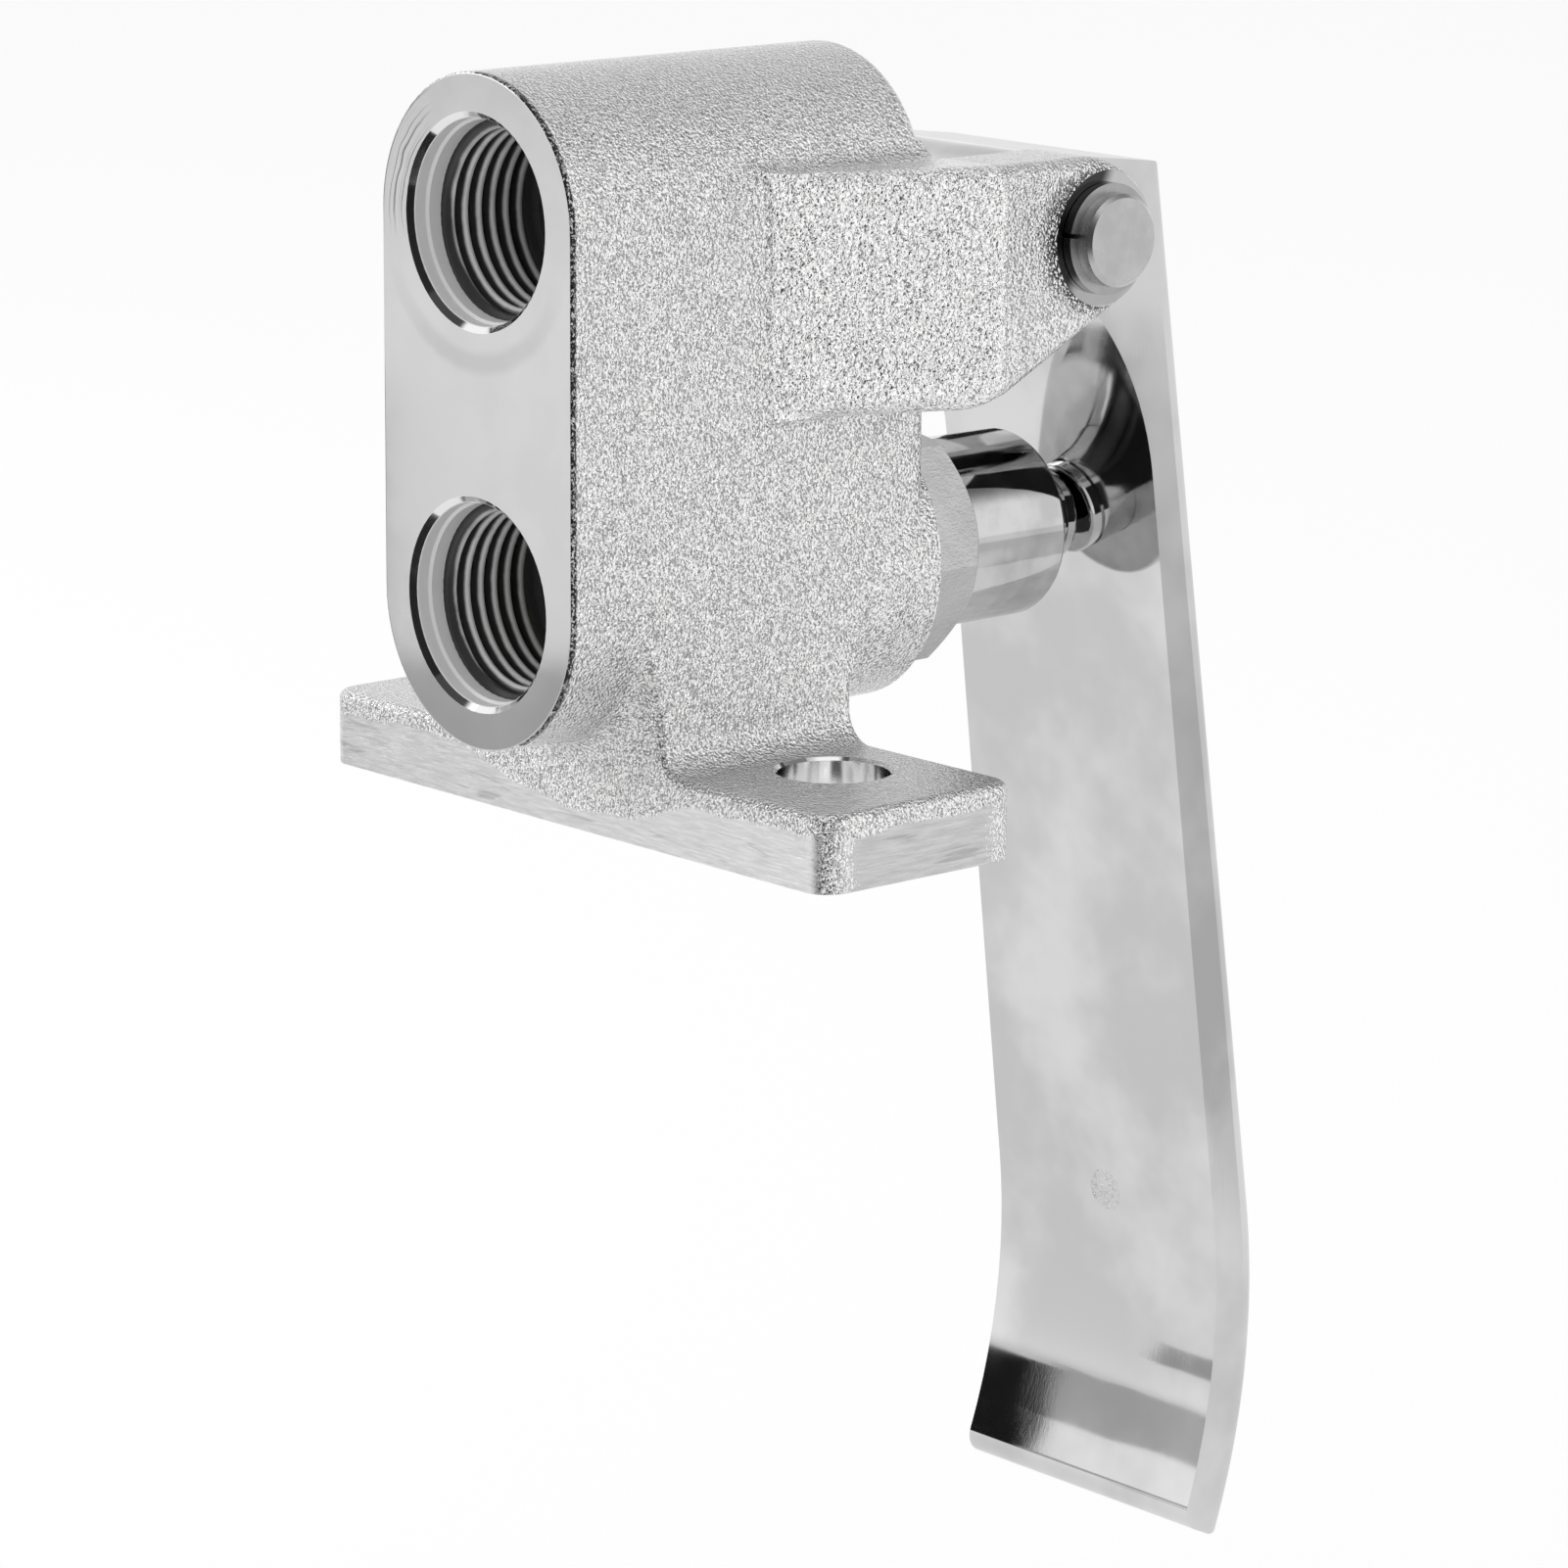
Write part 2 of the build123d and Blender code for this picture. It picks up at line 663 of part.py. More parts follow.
# Push rod: a domed front portion, and a thinner tail that carries the collar and the spindle
with BuildPart() as push_rod:
    with BuildSketch(Plane.YZ):
        turned([(rod_tail_radius, rod_tail_y, collar_back_y)])
        with BuildLine():
            Line((collar_back_y, rod_height), (collar_back_y, rod_height + rod_radius))
            Line((collar_back_y, rod_height + rod_radius), (rod_tip_y - dome_height, rod_height + rod_radius))
            RadiusArc(
                (rod_tip_y - dome_height, rod_height + rod_radius),
                (rod_tip_y, rod_height),
                rod_tip_dome_radius,
            )
            Line((rod_tip_y, rod_height), (collar_back_y, rod_height))
        make_face()
        turned(
            [(spindle_stud_radius + thread_clearance, rod_tail_y, rod_tail_y + rod_socket_depth)],
            mode=Mode.SUBTRACT,
        )
        groove_y = rod_tip_y - rod_groove_from_tip
        with Locations((groove_y, rod_height + rod_radius)):
            Rectangle(rod_groove_width, 2 * rod_groove_depth, mode=Mode.SUBTRACT)
    revolve(axis=rod_axis)
    tip_rim = [
        edge
        for edge in push_rod.edges().filter_by(GeomType.CIRCLE)
        if abs(edge.center().Y - rod_tip_y + dome_height) < near
    ]
    fillet(tip_rim, radius=rod_tip_edge_radius)

with BuildPart() as spring_collar:
    with BuildSketch(Plane.YZ):
        turned([(collar_radius, collar_back_y - collar_thickness, collar_back_y)])
        turned(
            [(rod_tail_radius + press_clearance, collar_back_y - collar_thickness, collar_back_y)],
            mode=Mode.SUBTRACT,
        )
    revolve(axis=rod_axis)

with BuildPart() as spring_washer:
    with BuildSketch(Plane.YZ):
        turned([(spring_bore_radius - ring_side_gap, spring_seat_y, spring_seat_y + spring_washer_thickness)])
        turned(
            [(spindle_radius + ring_side_gap, spring_seat_y, spring_seat_y + spring_washer_thickness)],
            mode=Mode.SUBTRACT,
        )
    revolve(axis=rod_axis)

# Return spring, from the washer to the collar
spring_start_y = spring_seat_y + spring_washer_thickness + spring_wire / 2
spring_end_y = collar_back_y - collar_thickness - spring_wire / 2
spring_length = spring_end_y - spring_start_y
with BuildPart() as return_spring:
    with BuildLine():
        coil = Helix(
            pitch=spring_length / spring_turns,
            height=spring_length,
            radius=spring_radius,
            center=(0, spring_start_y, rod_height),
            direction=(0, 1, 0),
        )
    with BuildSketch(Plane(origin=coil @ 0, z_dir=coil % 0)):
        Circle(spring_wire / 2)
    sweep(path=coil, is_frenet=True)

# Valve spindle: from the disc's thread, through the seat and the web, to the stud in the rod
spindle_front_y = disc_face_y - disc_rubber_thickness - disc_holder_thickness - disc_nut_thickness
waist_end_y = spigot_start_y - spindle_collar_length
with BuildPart() as valve_spindle:
    with BuildSketch(Plane.YZ):
        turned(
            [
                (spindle_thread_radius, spindle_front_y - spindle_thread_stick_out, disc_face_y),
                (spindle_collar_radius, disc_face_y, disc_face_y + spindle_collar_length),
                (spindle_waist_radius, disc_face_y + spindle_collar_length, waist_end_y),
                (spindle_radius, waist_end_y, rod_tail_y),
                (spindle_stud_radius, rod_tail_y, rod_tail_y + rod_socket_depth - ring_side_gap),
            ]
        )
    revolve(axis=rod_axis)

disc_bore_radius = spindle_thread_radius + thread_clearance
disc_back_y = disc_face_y - disc_rubber_thickness
with BuildPart() as disc_rubber:
    with BuildSketch(Plane.YZ):
        turned([(disc_rubber_radius, disc_back_y, disc_face_y)])
        turned([(disc_bore_radius, disc_back_y, disc_face_y)], mode=Mode.SUBTRACT)
    revolve(axis=rod_axis)

with BuildPart() as disc_holder:
    with BuildSketch(Plane.YZ):
        turned([(disc_holder_radius, disc_back_y - disc_holder_thickness, disc_back_y + disc_holder_rim)])
        turned(
            [
                (disc_rubber_radius + press_clearance, disc_back_y, disc_back_y + disc_holder_rim),
                (disc_bore_radius, disc_back_y - disc_holder_thickness, disc_back_y),
            ],
            mode=Mode.SUBTRACT,
        )
    revolve(axis=rod_axis)

with BuildPart() as disc_nut:
    with BuildSketch(Plane.XZ.offset(-spindle_front_y)):
        with Locations((0, rod_height)):
            RegularPolygon(disc_nut_across_flats / 2 / cos(radians(30)), 6)
            Circle(disc_bore_radius, mode=Mode.SUBTRACT)
    extrude(amount=-disc_nut_thickness)

# Hinge pin with a groove for a ring at each end
ring_groove_radius = pin_radius - ring_groove_depth
with BuildPart() as pivot_pin:
    with BuildSketch(Plane.YZ.offset(-pin_end_x)):
        with Locations((pin_from_holes, pin_height)):
            Circle(pin_radius)
    extrude(amount=2 * pin_end_x)
    chamfer(pivot_pin.edges().filter_by(GeomType.CIRCLE), length=pin_end_chamfer)
    for side in (-1, 1):
        with BuildSketch(Plane.YZ.offset(side * (ring_inner_x - press_clearance))):
            with Locations((pin_from_holes, pin_height)):
                Circle(pin_radius + ring_side_gap)
                Circle(ring_groove_radius, mode=Mode.SUBTRACT)
        extrude(amount=side * (ring_thickness + 2 * press_clearance), mode=Mode.SUBTRACT)


def split_ring(side):
    """Retaining ring on one end of the pin, sawn through on the side of the ports."""
    with BuildPart() as ring:
        with BuildSketch(Plane.YZ.offset(side * ring_inner_x)):
            with Locations((pin_from_holes, pin_height)):
                Circle(ring_radius)
                Circle(ring_groove_radius + press_clearance, mode=Mode.SUBTRACT)
                with PolarLocations((ring_radius + ring_groove_radius) / 2, 1, start_angle=ring_slit_angle):
                    Rectangle(2 * (ring_radius - ring_groove_radius), ring_slit, mode=Mode.SUBTRACT)
        extrude(amount=side * ring_thickness)
    return ring


pin_ring_left = split_ring(-1)
pin_ring_right = split_ring(1)

# Pedal: the side outline, narrowed towards the top, with rounded outer edges
with BuildPart() as pedal_lever:
    with BuildSketch(Plane.YZ.offset(-pedal_foot_width)):
        with BuildLine():
            Line(yz(knuckle_top), yz(outer_top))
            Line(yz(outer_top), yz(outer_bend_start))
            ThreePointArc(yz(outer_bend_start), yz(outer_bend_mid), yz(outer_foot))
            Line(yz(outer_foot), yz(inner_foot))
            ThreePointArc(yz(inner_foot), yz(inner_bend_mid), yz(inner_bend_start))
            Line(yz(inner_bend_start), yz(scoop_start))
            ThreePointArc(yz(scoop_start), yz(scoop_mid), yz(scoop_end))
            ThreePointArc(
                yz(scoop_end),
                (pin_from_holes - knuckle_radius, pin_height),
                yz(knuckle_top),
            )
        make_face()
    extrude(amount=2 * pedal_foot_width)
    with BuildSketch(Plane.XZ):
        with BuildLine():
            Polyline(
                (-pedal_top_width / 2, pedal_top_z),
                (pedal_top_width / 2, pedal_top_z),
                (pedal_foot_width / 2, pedal_foot_z),
                (-pedal_foot_width / 2, pedal_foot_z),
                (-pedal_top_width / 2, pedal_top_z),
            )
        make_face()
    extrude(amount=2 * outer_bend_start.Y, both=True, mode=Mode.INTERSECT)
    outer_edges = []
    for edge in pedal_lever.edges():
        middle = Vector(0, (edge @ 0.5).Y, (edge @ 0.5).Z)
        on_plate = abs((middle - outer_bend_start).dot(outer_across)) < near
        on_bend = abs((middle - outer_centre).length - pedal_bend_radius) < near
        seam = (middle - outer_bend_start).length < near
        if (on_plate or on_bend) and not seam:
            outer_edges.append(edge)
    fillet(outer_edges, radius=pedal_edge_radius)
    foot_edge = [edge for edge in pedal_lever.edges() if ((edge @ 0.5) - inner_foot).length < near]
    fillet(foot_edge, radius=pedal_foot_edge_radius)

    # Bore for the pin, opened at both ends for the bushes
    with BuildSketch(Plane.YZ.offset(-pedal_foot_width)):
        with Locations((pin_from_holes, pin_height)):
            Circle(pedal_bore_radius)
    extrude(amount=2 * pedal_foot_width, mode=Mode.SUBTRACT)
    for side in (-1, 1):
        with BuildSketch(Plane.YZ.offset(side * (pedal_top_width / 2 - hinge_bush_length))):
            with Locations((pin_from_holes, pin_height)):
                Circle(hinge_bush_radius + press_clearance)
        extrude(amount=side * pedal_foot_width, mode=Mode.SUBTRACT)


def hinge_bush(side):
    """Plain bush pressed into one end of the pedal's bore."""
    with BuildPart() as bush:
        with BuildSketch(Plane.YZ.offset(side * pedal_top_width / 2)):
            with Locations((pin_from_holes, pin_height)):
                Circle(hinge_bush_radius)
                Circle(pin_radius + hinge_running_clearance, mode=Mode.SUBTRACT)
        extrude(amount=-side * hinge_bush_length)
    return bush


hinge_bush_left = hinge_bush(-1)
hinge_bush_right = hinge_bush(1)

valve_body.part.label = "valve_body"
seat_ring.part.label = "seat_ring"
seat_gasket.part.label = "seat_gasket"
bonnet.part.label = "bonnet"
bonnet_ring.part.label = "bonnet_ring"
stem_ring_front.part.label = "stem_ring_front"
stem_ring_back.part.label = "stem_ring_back"
spring_cap.part.label = "spring_cap"
rod_wiper.part.label = "rod_wiper"
push_rod.part.label = "push_rod"
spring_collar.part.label = "spring_collar"
spring_washer.part.label = "spring_washer"
return_spring.part.label = "return_spring"
valve_spindle.part.label = "valve_spindle"
disc_rubber.part.label = "disc_rubber"
disc_holder.part.label = "disc_holder"
disc_nut.part.label = "disc_nut"
pivot_pin.part.label = "pivot_pin"
pin_ring_left.part.label = "pin_ring_left"
pin_ring_right.part.label = "pin_ring_right"
pedal_lever.part.label = "pedal_lever"
hinge_bush_left.part.label = "hinge_bush_left"
hinge_bush_right.part.label = "hinge_bush_right"

os.makedirs("parts", exist_ok=True)
export_step(valve_body.part, "parts/valve_body.step")
export_step(seat_ring.part, "parts/seat_ring.step")
export_step(seat_gasket.part, "parts/seat_gasket.step")
export_step(bonnet.part, "parts/bonnet.step")
export_step(bonnet_ring.part, "parts/bonnet_ring.step")
export_step(stem_ring_front.part, "parts/stem_ring_front.step")
export_step(stem_ring_back.part, "parts/stem_ring_back.step")
export_step(spring_cap.part, "parts/spring_cap.step")
export_step(rod_wiper.part, "parts/rod_wiper.step")
export_step(push_rod.part, "parts/push_rod.step")
export_step(spring_collar.part, "parts/spring_collar.step")
export_step(spring_washer.part, "parts/spring_washer.step")
export_step(return_spring.part, "parts/return_spring.step")
export_step(valve_spindle.part, "parts/valve_spindle.step")
export_step(disc_rubber.part, "parts/disc_rubber.step")
export_step(disc_holder.part, "parts/disc_holder.step")
export_step(disc_nut.part, "parts/disc_nut.step")
export_step(pivot_pin.part, "parts/pivot_pin.step")
export_step(pin_ring_left.part, "parts/pin_ring_left.step")
export_step(pin_ring_right.part, "parts/pin_ring_right.step")
export_step(pedal_lever.part, "parts/pedal_lever.step")
export_step(hinge_bush_left.part, "parts/hinge_bush_left.step")
export_step(hinge_bush_right.part, "parts/hinge_bush_right.step")
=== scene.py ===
from functools import reduce
from math import cos, hypot, pi, radians

import bmesh
import bpy
from mathutils import Matrix, Vector


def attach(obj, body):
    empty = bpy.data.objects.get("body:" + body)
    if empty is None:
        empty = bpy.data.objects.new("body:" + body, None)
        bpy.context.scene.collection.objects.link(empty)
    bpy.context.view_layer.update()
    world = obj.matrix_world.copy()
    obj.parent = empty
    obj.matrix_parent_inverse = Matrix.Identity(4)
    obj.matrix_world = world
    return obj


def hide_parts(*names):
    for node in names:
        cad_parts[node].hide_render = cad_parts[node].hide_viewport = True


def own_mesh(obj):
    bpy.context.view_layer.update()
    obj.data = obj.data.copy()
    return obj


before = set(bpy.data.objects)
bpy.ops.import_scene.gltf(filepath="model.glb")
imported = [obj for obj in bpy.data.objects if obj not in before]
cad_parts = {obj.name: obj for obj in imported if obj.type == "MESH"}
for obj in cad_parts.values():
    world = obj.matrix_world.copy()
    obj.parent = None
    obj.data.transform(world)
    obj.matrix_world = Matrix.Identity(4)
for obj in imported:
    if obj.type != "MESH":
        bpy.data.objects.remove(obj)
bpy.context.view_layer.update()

MM = 0.001

# Places on the valve, in millimetres, as in the CAD
LOWER_PORT_Z = 25.4
UPPER_PORT_Z = 65.4
PORT_FACE_Y = -27.5
PORT_MOUTH_RADIUS = 11.42
BORE_END_Y = 5.0
FLANGE_FRONT_Y = -15.6
FLANGE_BACK_Y = 11.4
FLANGE_TOP_Z = 8.2
FLANGE_END_X = 41.3
FLANGE_CORNER = 3.0
BOLT_X = 25.15
BOLT_HOLE_RADIUS = 6.0
BOLT_HOLE_CHAMFER = 0.35
FLANK_START_X = 15.7
FLANK_BACK_Y = 22.2
FLANK_FOOT_Z = 43.0
EAR_SIDE_X = 24.0
BOSS_END_Y = 23.3
PIN_Y = 37.7
PIN_Z = 60.9
SPOT_FACE_RADIUS = 7.3

# Pipe threads, G 1/2
THREAD_PITCH = 1.814
THREAD_CREST_RADIUS = 9.42
THREAD_ROOT_RADIUS = 10.6
THREAD_TURNS = 6.3
THREAD_START_DEPTH = 2.8
THREAD_SLOPE_DEPTH = 3.7
STEPS_PER_TURN = 72

# The casting's skin: grain sizes and height in millimetres, and the way along which its lumps are painted
# lit on one side and shaded on the other
SKIN_GRAIN = 0.32
FLANK_GRAIN = 0.40
SKIN_HEIGHT = 0.24
PAINTED_LIGHT_WAY = (-0.30, 0.30, 0.08)

# Levels of grey
# Dark grey of the painted shade in the ports' depths, on the ear round the pin, and of the painted dark line
# behind the port face
PAINTED_SHADE_GREY = 0.03
SPOT_FACE_SHADE_GREY = 0.04
ARC_GREY = 0.10
SCRATCH_GREY = 0.3
BORE_GREY = 0.9

# Middle of the round scuff on the pedal
PEDAL_SCUFF = (0.0, 65.9, -56.2)


# Small tools for building shader node trees
def feed_inputs(tree, node, inputs):
    """Sets or links a node's inputs."""
    for socket, value in inputs.items():
        if isinstance(value, bpy.types.NodeSocket):
            tree.links.new(value, node.inputs[socket])
        else:
            node.inputs[socket].default_value = value


def add(tree, kind, inputs=None, **settings):
    """A node of this kind, with its settings, and with its inputs set or linked."""
    new = tree.nodes.new(kind)
    for name, value in settings.items():
        setattr(new, name, value)
    feed_inputs(tree, new, inputs or {})
    return new


def calc(tree, operation, *values, clamp=False):
    """One sum on one, two or three numbers."""
    return add(
        tree, "ShaderNodeMath", dict(enumerate(values)), operation=operation, use_clamp=clamp
    ).outputs[0]


def times(tree, *values):
    """The product of several numbers."""
    return reduce(lambda so_far, value: calc(tree, "MULTIPLY", so_far, value), values)


def plus(tree, *values):
    """The sum of several numbers."""
    return reduce(lambda so_far, value: calc(tree, "ADD", so_far, value), values)


def largest(tree, *values):
    """The largest of several numbers."""
    return reduce(lambda so_far, value: calc(tree, "MAXIMUM", so_far, value), values)


def opposite(tree, mask):
    """1 where a mask is 0, and 0 where it is 1."""
    return calc(tree, "SUBTRACT", 1.0, mask)


def below(tree, value, limit):
    """1 where the value is less than a limit."""
    return calc(tree, "LESS_THAN", value, limit)


def above(tree, value, limit):
    """1 where the value is more than a limit."""
    return calc(tree, "GREATER_THAN", value, limit)


def fade(tree, value, start, end, low=0.0, high=1.0):
    """A smooth change from low to high as the value goes from start to end."""
    return add(
        tree,
        "ShaderNodeMapRange",
        {"Value": value, "From Min": start, "From Max": end, "To Min": low, "To Max": high},
        interpolation_type="SMOOTHSTEP",
    ).outputs["Result"]


def blend_colours(tree, factor, first, second):
    """Two colours mixed by a factor."""
    return add(tree, "ShaderNodeMix", {0: factor, 6: first, 7: second}, data_type="RGBA").outputs[2]


def grey(level, warmth=0.0):
    """A nearly neutral colour."""
    return (level * (1 + warmth), level, level * (1 - warmth), 1.0)


def even_grey(tree, level):
    """A neutral colour from a number."""
    return add(tree, "ShaderNodeCombineColor", {0: level, 1: level, 2: level}).outputs[0]


def millimetres(tree):
    """The place on the piece, in millimetres, as a vector and as X, Y and Z."""
    place = add(tree, "ShaderNodeTexCoord").outputs["Object"]
    scaled = add(
        tree, "ShaderNodeVectorMath", {0: place, 1: (1 / MM, 1 / MM, 1 / MM)}, operation="MULTIPLY"
    ).outputs[0]
    split = add(tree, "ShaderNodeSeparateXYZ", {0: scaled})
    return scaled, split.outputs[0], split.outputs[1], split.outputs[2]


def distance(tree, a, b):
    """The length of a vector with these two parts."""
    return calc(tree, "SQRT", plus(tree, times(tree, a, a), times(tree, b, b)))


def off(tree, value, middle):
    """How far a value lies from a middle, with its sign."""
    return calc(tree, "SUBTRACT", value, middle)


def at(tree, value, level, reach=0.03):
    """1 where the value lies on a level."""
    return calc(tree, "COMPARE", value, level, reach)


def group(name, inputs, outputs):
    """An empty shader group with its sockets, and its input and output nodes."""
    tree = bpy.data.node_groups.new(name, "ShaderNodeTree")
    for label, kind, default in inputs:
        socket = tree.interface.new_socket(label, in_out="INPUT", socket_type=kind)
        if default is not None:
            socket.default_value = default
    for label, kind in outputs:
        tree.interface.new_socket(label, in_out="OUTPUT", socket_type=kind)
    start = tree.nodes.new("NodeGroupInput")
    end = tree.nodes.new("NodeGroupOutput")
    return tree, start, end


def place_group(tree, effect, inputs):
    """A shared effect, placed in a material with its own values."""
    return add(tree, "ShaderNodeGroup", inputs, node_tree=effect)


def lump_height(tree, vector, per_grain):
    """Height of the casting's small wavy lumps at a place."""
    fine = add(
        tree,
        "ShaderNodeTexNoise",
        {"Vector": vector, "Scale": per_grain, "Detail": 1.5, "Roughness": 0.45, "Distortion": 0.9},
    ).outputs[0]
    lumps = add(
        tree,
        "ShaderNodeTexVoronoi",
        {"Vector": vector, "Scale": per_grain, "Smoothness": 0.7},
        feature="SMOOTH_F1",
    ).outputs["Distance"]
    return calc(tree, "SUBTRACT", fine, times(tree, lumps, 0.45))


def make_cast_grain():
    """Skin of a blasted casting under plating: wavy lumps, their slope along one way for painted light and
    shade on the lumps' sides, and dark pits.
    """
    tree, start, end = group(
        "cast_grain",
        [("Vector", "NodeSocketVector", None), ("Grain", "NodeSocketFloat", 0.6)],
        [
            ("Height", "NodeSocketFloat"),
            ("Slope", "NodeSocketFloat"),
            ("Specks", "NodeSocketFloat"),
            ("Cloud", "NodeSocketFloat"),
        ],
    )
    place, grain = start.outputs["Vector"], start.outputs["Grain"]
    per_grain = calc(tree, "DIVIDE", 1.0, grain)
    height = lump_height(tree, place, per_grain)
    # The height's change along one way: painted light and shade on the lumps' sides, and a wander for the
    # ground line
    step = add(tree, "ShaderNodeVectorMath", {0: PAINTED_LIGHT_WAY, "Scale": grain}, operation="SCALE")
    beside = add(tree, "ShaderNodeVectorMath", {0: place, 1: step.outputs[0]}, operation="ADD")
    slope = calc(tree, "SUBTRACT", lump_height(tree, beside.outputs[0], per_grain), height)
    cloud = add(
        tree,
        "ShaderNodeTexNoise",
        {"Vector": place, "Scale": 0.11, "Detail": 3.0, "Roughness": 0.6},
    ).outputs[0]
    pits = add(
        tree,
        "ShaderNodeTexNoise",
        {"Vector": place, "Scale": times(tree, per_grain, 0.9), "Detail": 2.0, "Distortion": 1.5},
    ).outputs[0]
    specks = fade(tree, pits, 0.60, 0.72)
    for label, value in (("Height", height), ("Slope", slope), ("Specks", specks), ("Cloud", cloud)):
        tree.links.new(value, end.inputs[label])
    return tree


def make_scratches():
    """Fine grinding or brushing marks along one direction, and larger scratches among them."""
    tree, start, end = group(
        "scratches",
        [
            ("Vector", "NodeSocketVector", None),
            ("Along", "NodeSocketVector", (0.05, 1.0, 1.0)),
            ("Fineness", "NodeSocketFloat", 5.0),
        ],
        [("Height", "NodeSocketFloat"), ("Deep", "NodeSocketFloat")],
    )
    fineness = start.outputs["Fineness"]
    drawn = add(
        tree,
        "ShaderNodeVectorMath",
        {0: start.outputs["Vector"], 1: start.outputs["Along"]},
        operation="MULTIPLY",
    ).outputs[0]
    fine = add(
        tree,
        "ShaderNodeTexNoise",
        {"Vector": drawn, "Scale": fineness, "Detail": 4.0, "Roughness": 0.65},
    ).outputs[0]
    deep = add(
        tree,
        "ShaderNodeTexNoise",
        {"Vector": drawn, "Scale": times(tree, fineness, 0.45), "Detail": 2.0, "Distortion": 0.4},
    ).outputs[0]
    tree.links.new(fine, end.inputs["Height"])
    tree.links.new(fade(tree, deep, 0.62, 0.70), end.inputs["Deep"])
    return tree


def make_turning():
    """Rings left by a lathe tool, from the distance to the axis or the place along it."""
    tree, start, end = group(
        "turning_marks",
        [
            ("Vector", "NodeSocketVector", None),
            ("Distance", "NodeSocketFloat", 0.0),
            ("Feed", "NodeSocketFloat", 0.12),
        ],
        [("Height", "NodeSocketFloat")],
    )
    wobble = add(
        tree,
        "ShaderNodeTexNoise",
        {"Vector": start.outputs["Vector"], "Scale": 0.4, "Detail": 1.0},
    ).outputs[0]
    turns = calc(tree, "DIVIDE", start.outputs["Distance"], start.outputs["Feed"])
    phase = times(tree, plus(tree, turns, times(tree, wobble, 0.6)), 2 * pi)
    ridge = calc(tree, "MULTIPLY_ADD", calc(tree, "SINE", phase), 0.5, 0.5)
    uneven = add(
        tree,
        "ShaderNodeTexNoise",
        {"Scale": 1.3, "Detail": 2.0, "W": turns},
        noise_dimensions="1D",
    ).outputs[0]
    tree.links.new(times(tree, ridge, uneven), end.inputs["Height"])
    return tree


def make_haze():
    """Unevenness of a polished face: a cloudy haze and slow waves."""
    tree, start, end = group(
        "polish_haze",
        [("Vector", "NodeSocketVector", None), ("Size", "NodeSocketFloat", 12.0)],
        [("Cloud", "NodeSocketFloat"), ("Wave", "NodeSocketFloat")],
    )
    per_size = calc(tree, "DIVIDE", 1.0, start.outputs["Size"])
    cloud = add(
        tree,
        "ShaderNodeTexNoise",
        {"Vector": start.outputs["Vector"], "Scale": per_size, "Detail": 4.0, "Roughness": 0.55},
    ).outputs[0]
    wave = add(
        tree,
        "ShaderNodeTexNoise",
        {"Vector": start.outputs["Vector"], "Scale": times(tree, per_size, 1.7), "Detail": 1.0},
    ).outputs[0]
    tree.links.new(cloud, end.inputs["Cloud"])
    tree.links.new(wave, end.inputs["Wave"])
    return tree


cast_grain = make_cast_grain()
scratches = make_scratches()
turning_marks = make_turning()
polish_haze = make_haze()


def start_material(name, metallic):
    """A new material with its Principled shader and its plain metallic value."""
    material = bpy.data.materials.new(name)
    material.use_nodes = True
    tree = material.node_tree
    tree.nodes.clear()
    shader = add(tree, "ShaderNodeBsdfPrincipled", {"Metallic": metallic})
    surface = add(tree, "ShaderNodeOutputMaterial")
    tree.links.new(shader.outputs[0], surface.inputs["Surface"])
    return material, tree, shader


def finish_shader(tree, shader, colour, roughness, height, depth):
    """Feeds the shader: colour and roughness, and the surface's height in millimetres."""
    bump = add(tree, "ShaderNodeBump", {"Strength": 1.0, "Distance": depth * MM, "Height": height})
    feed_inputs(tree, shader, {"Base Color": colour, "Roughness": roughness, "Normal": bump.outputs[0]})


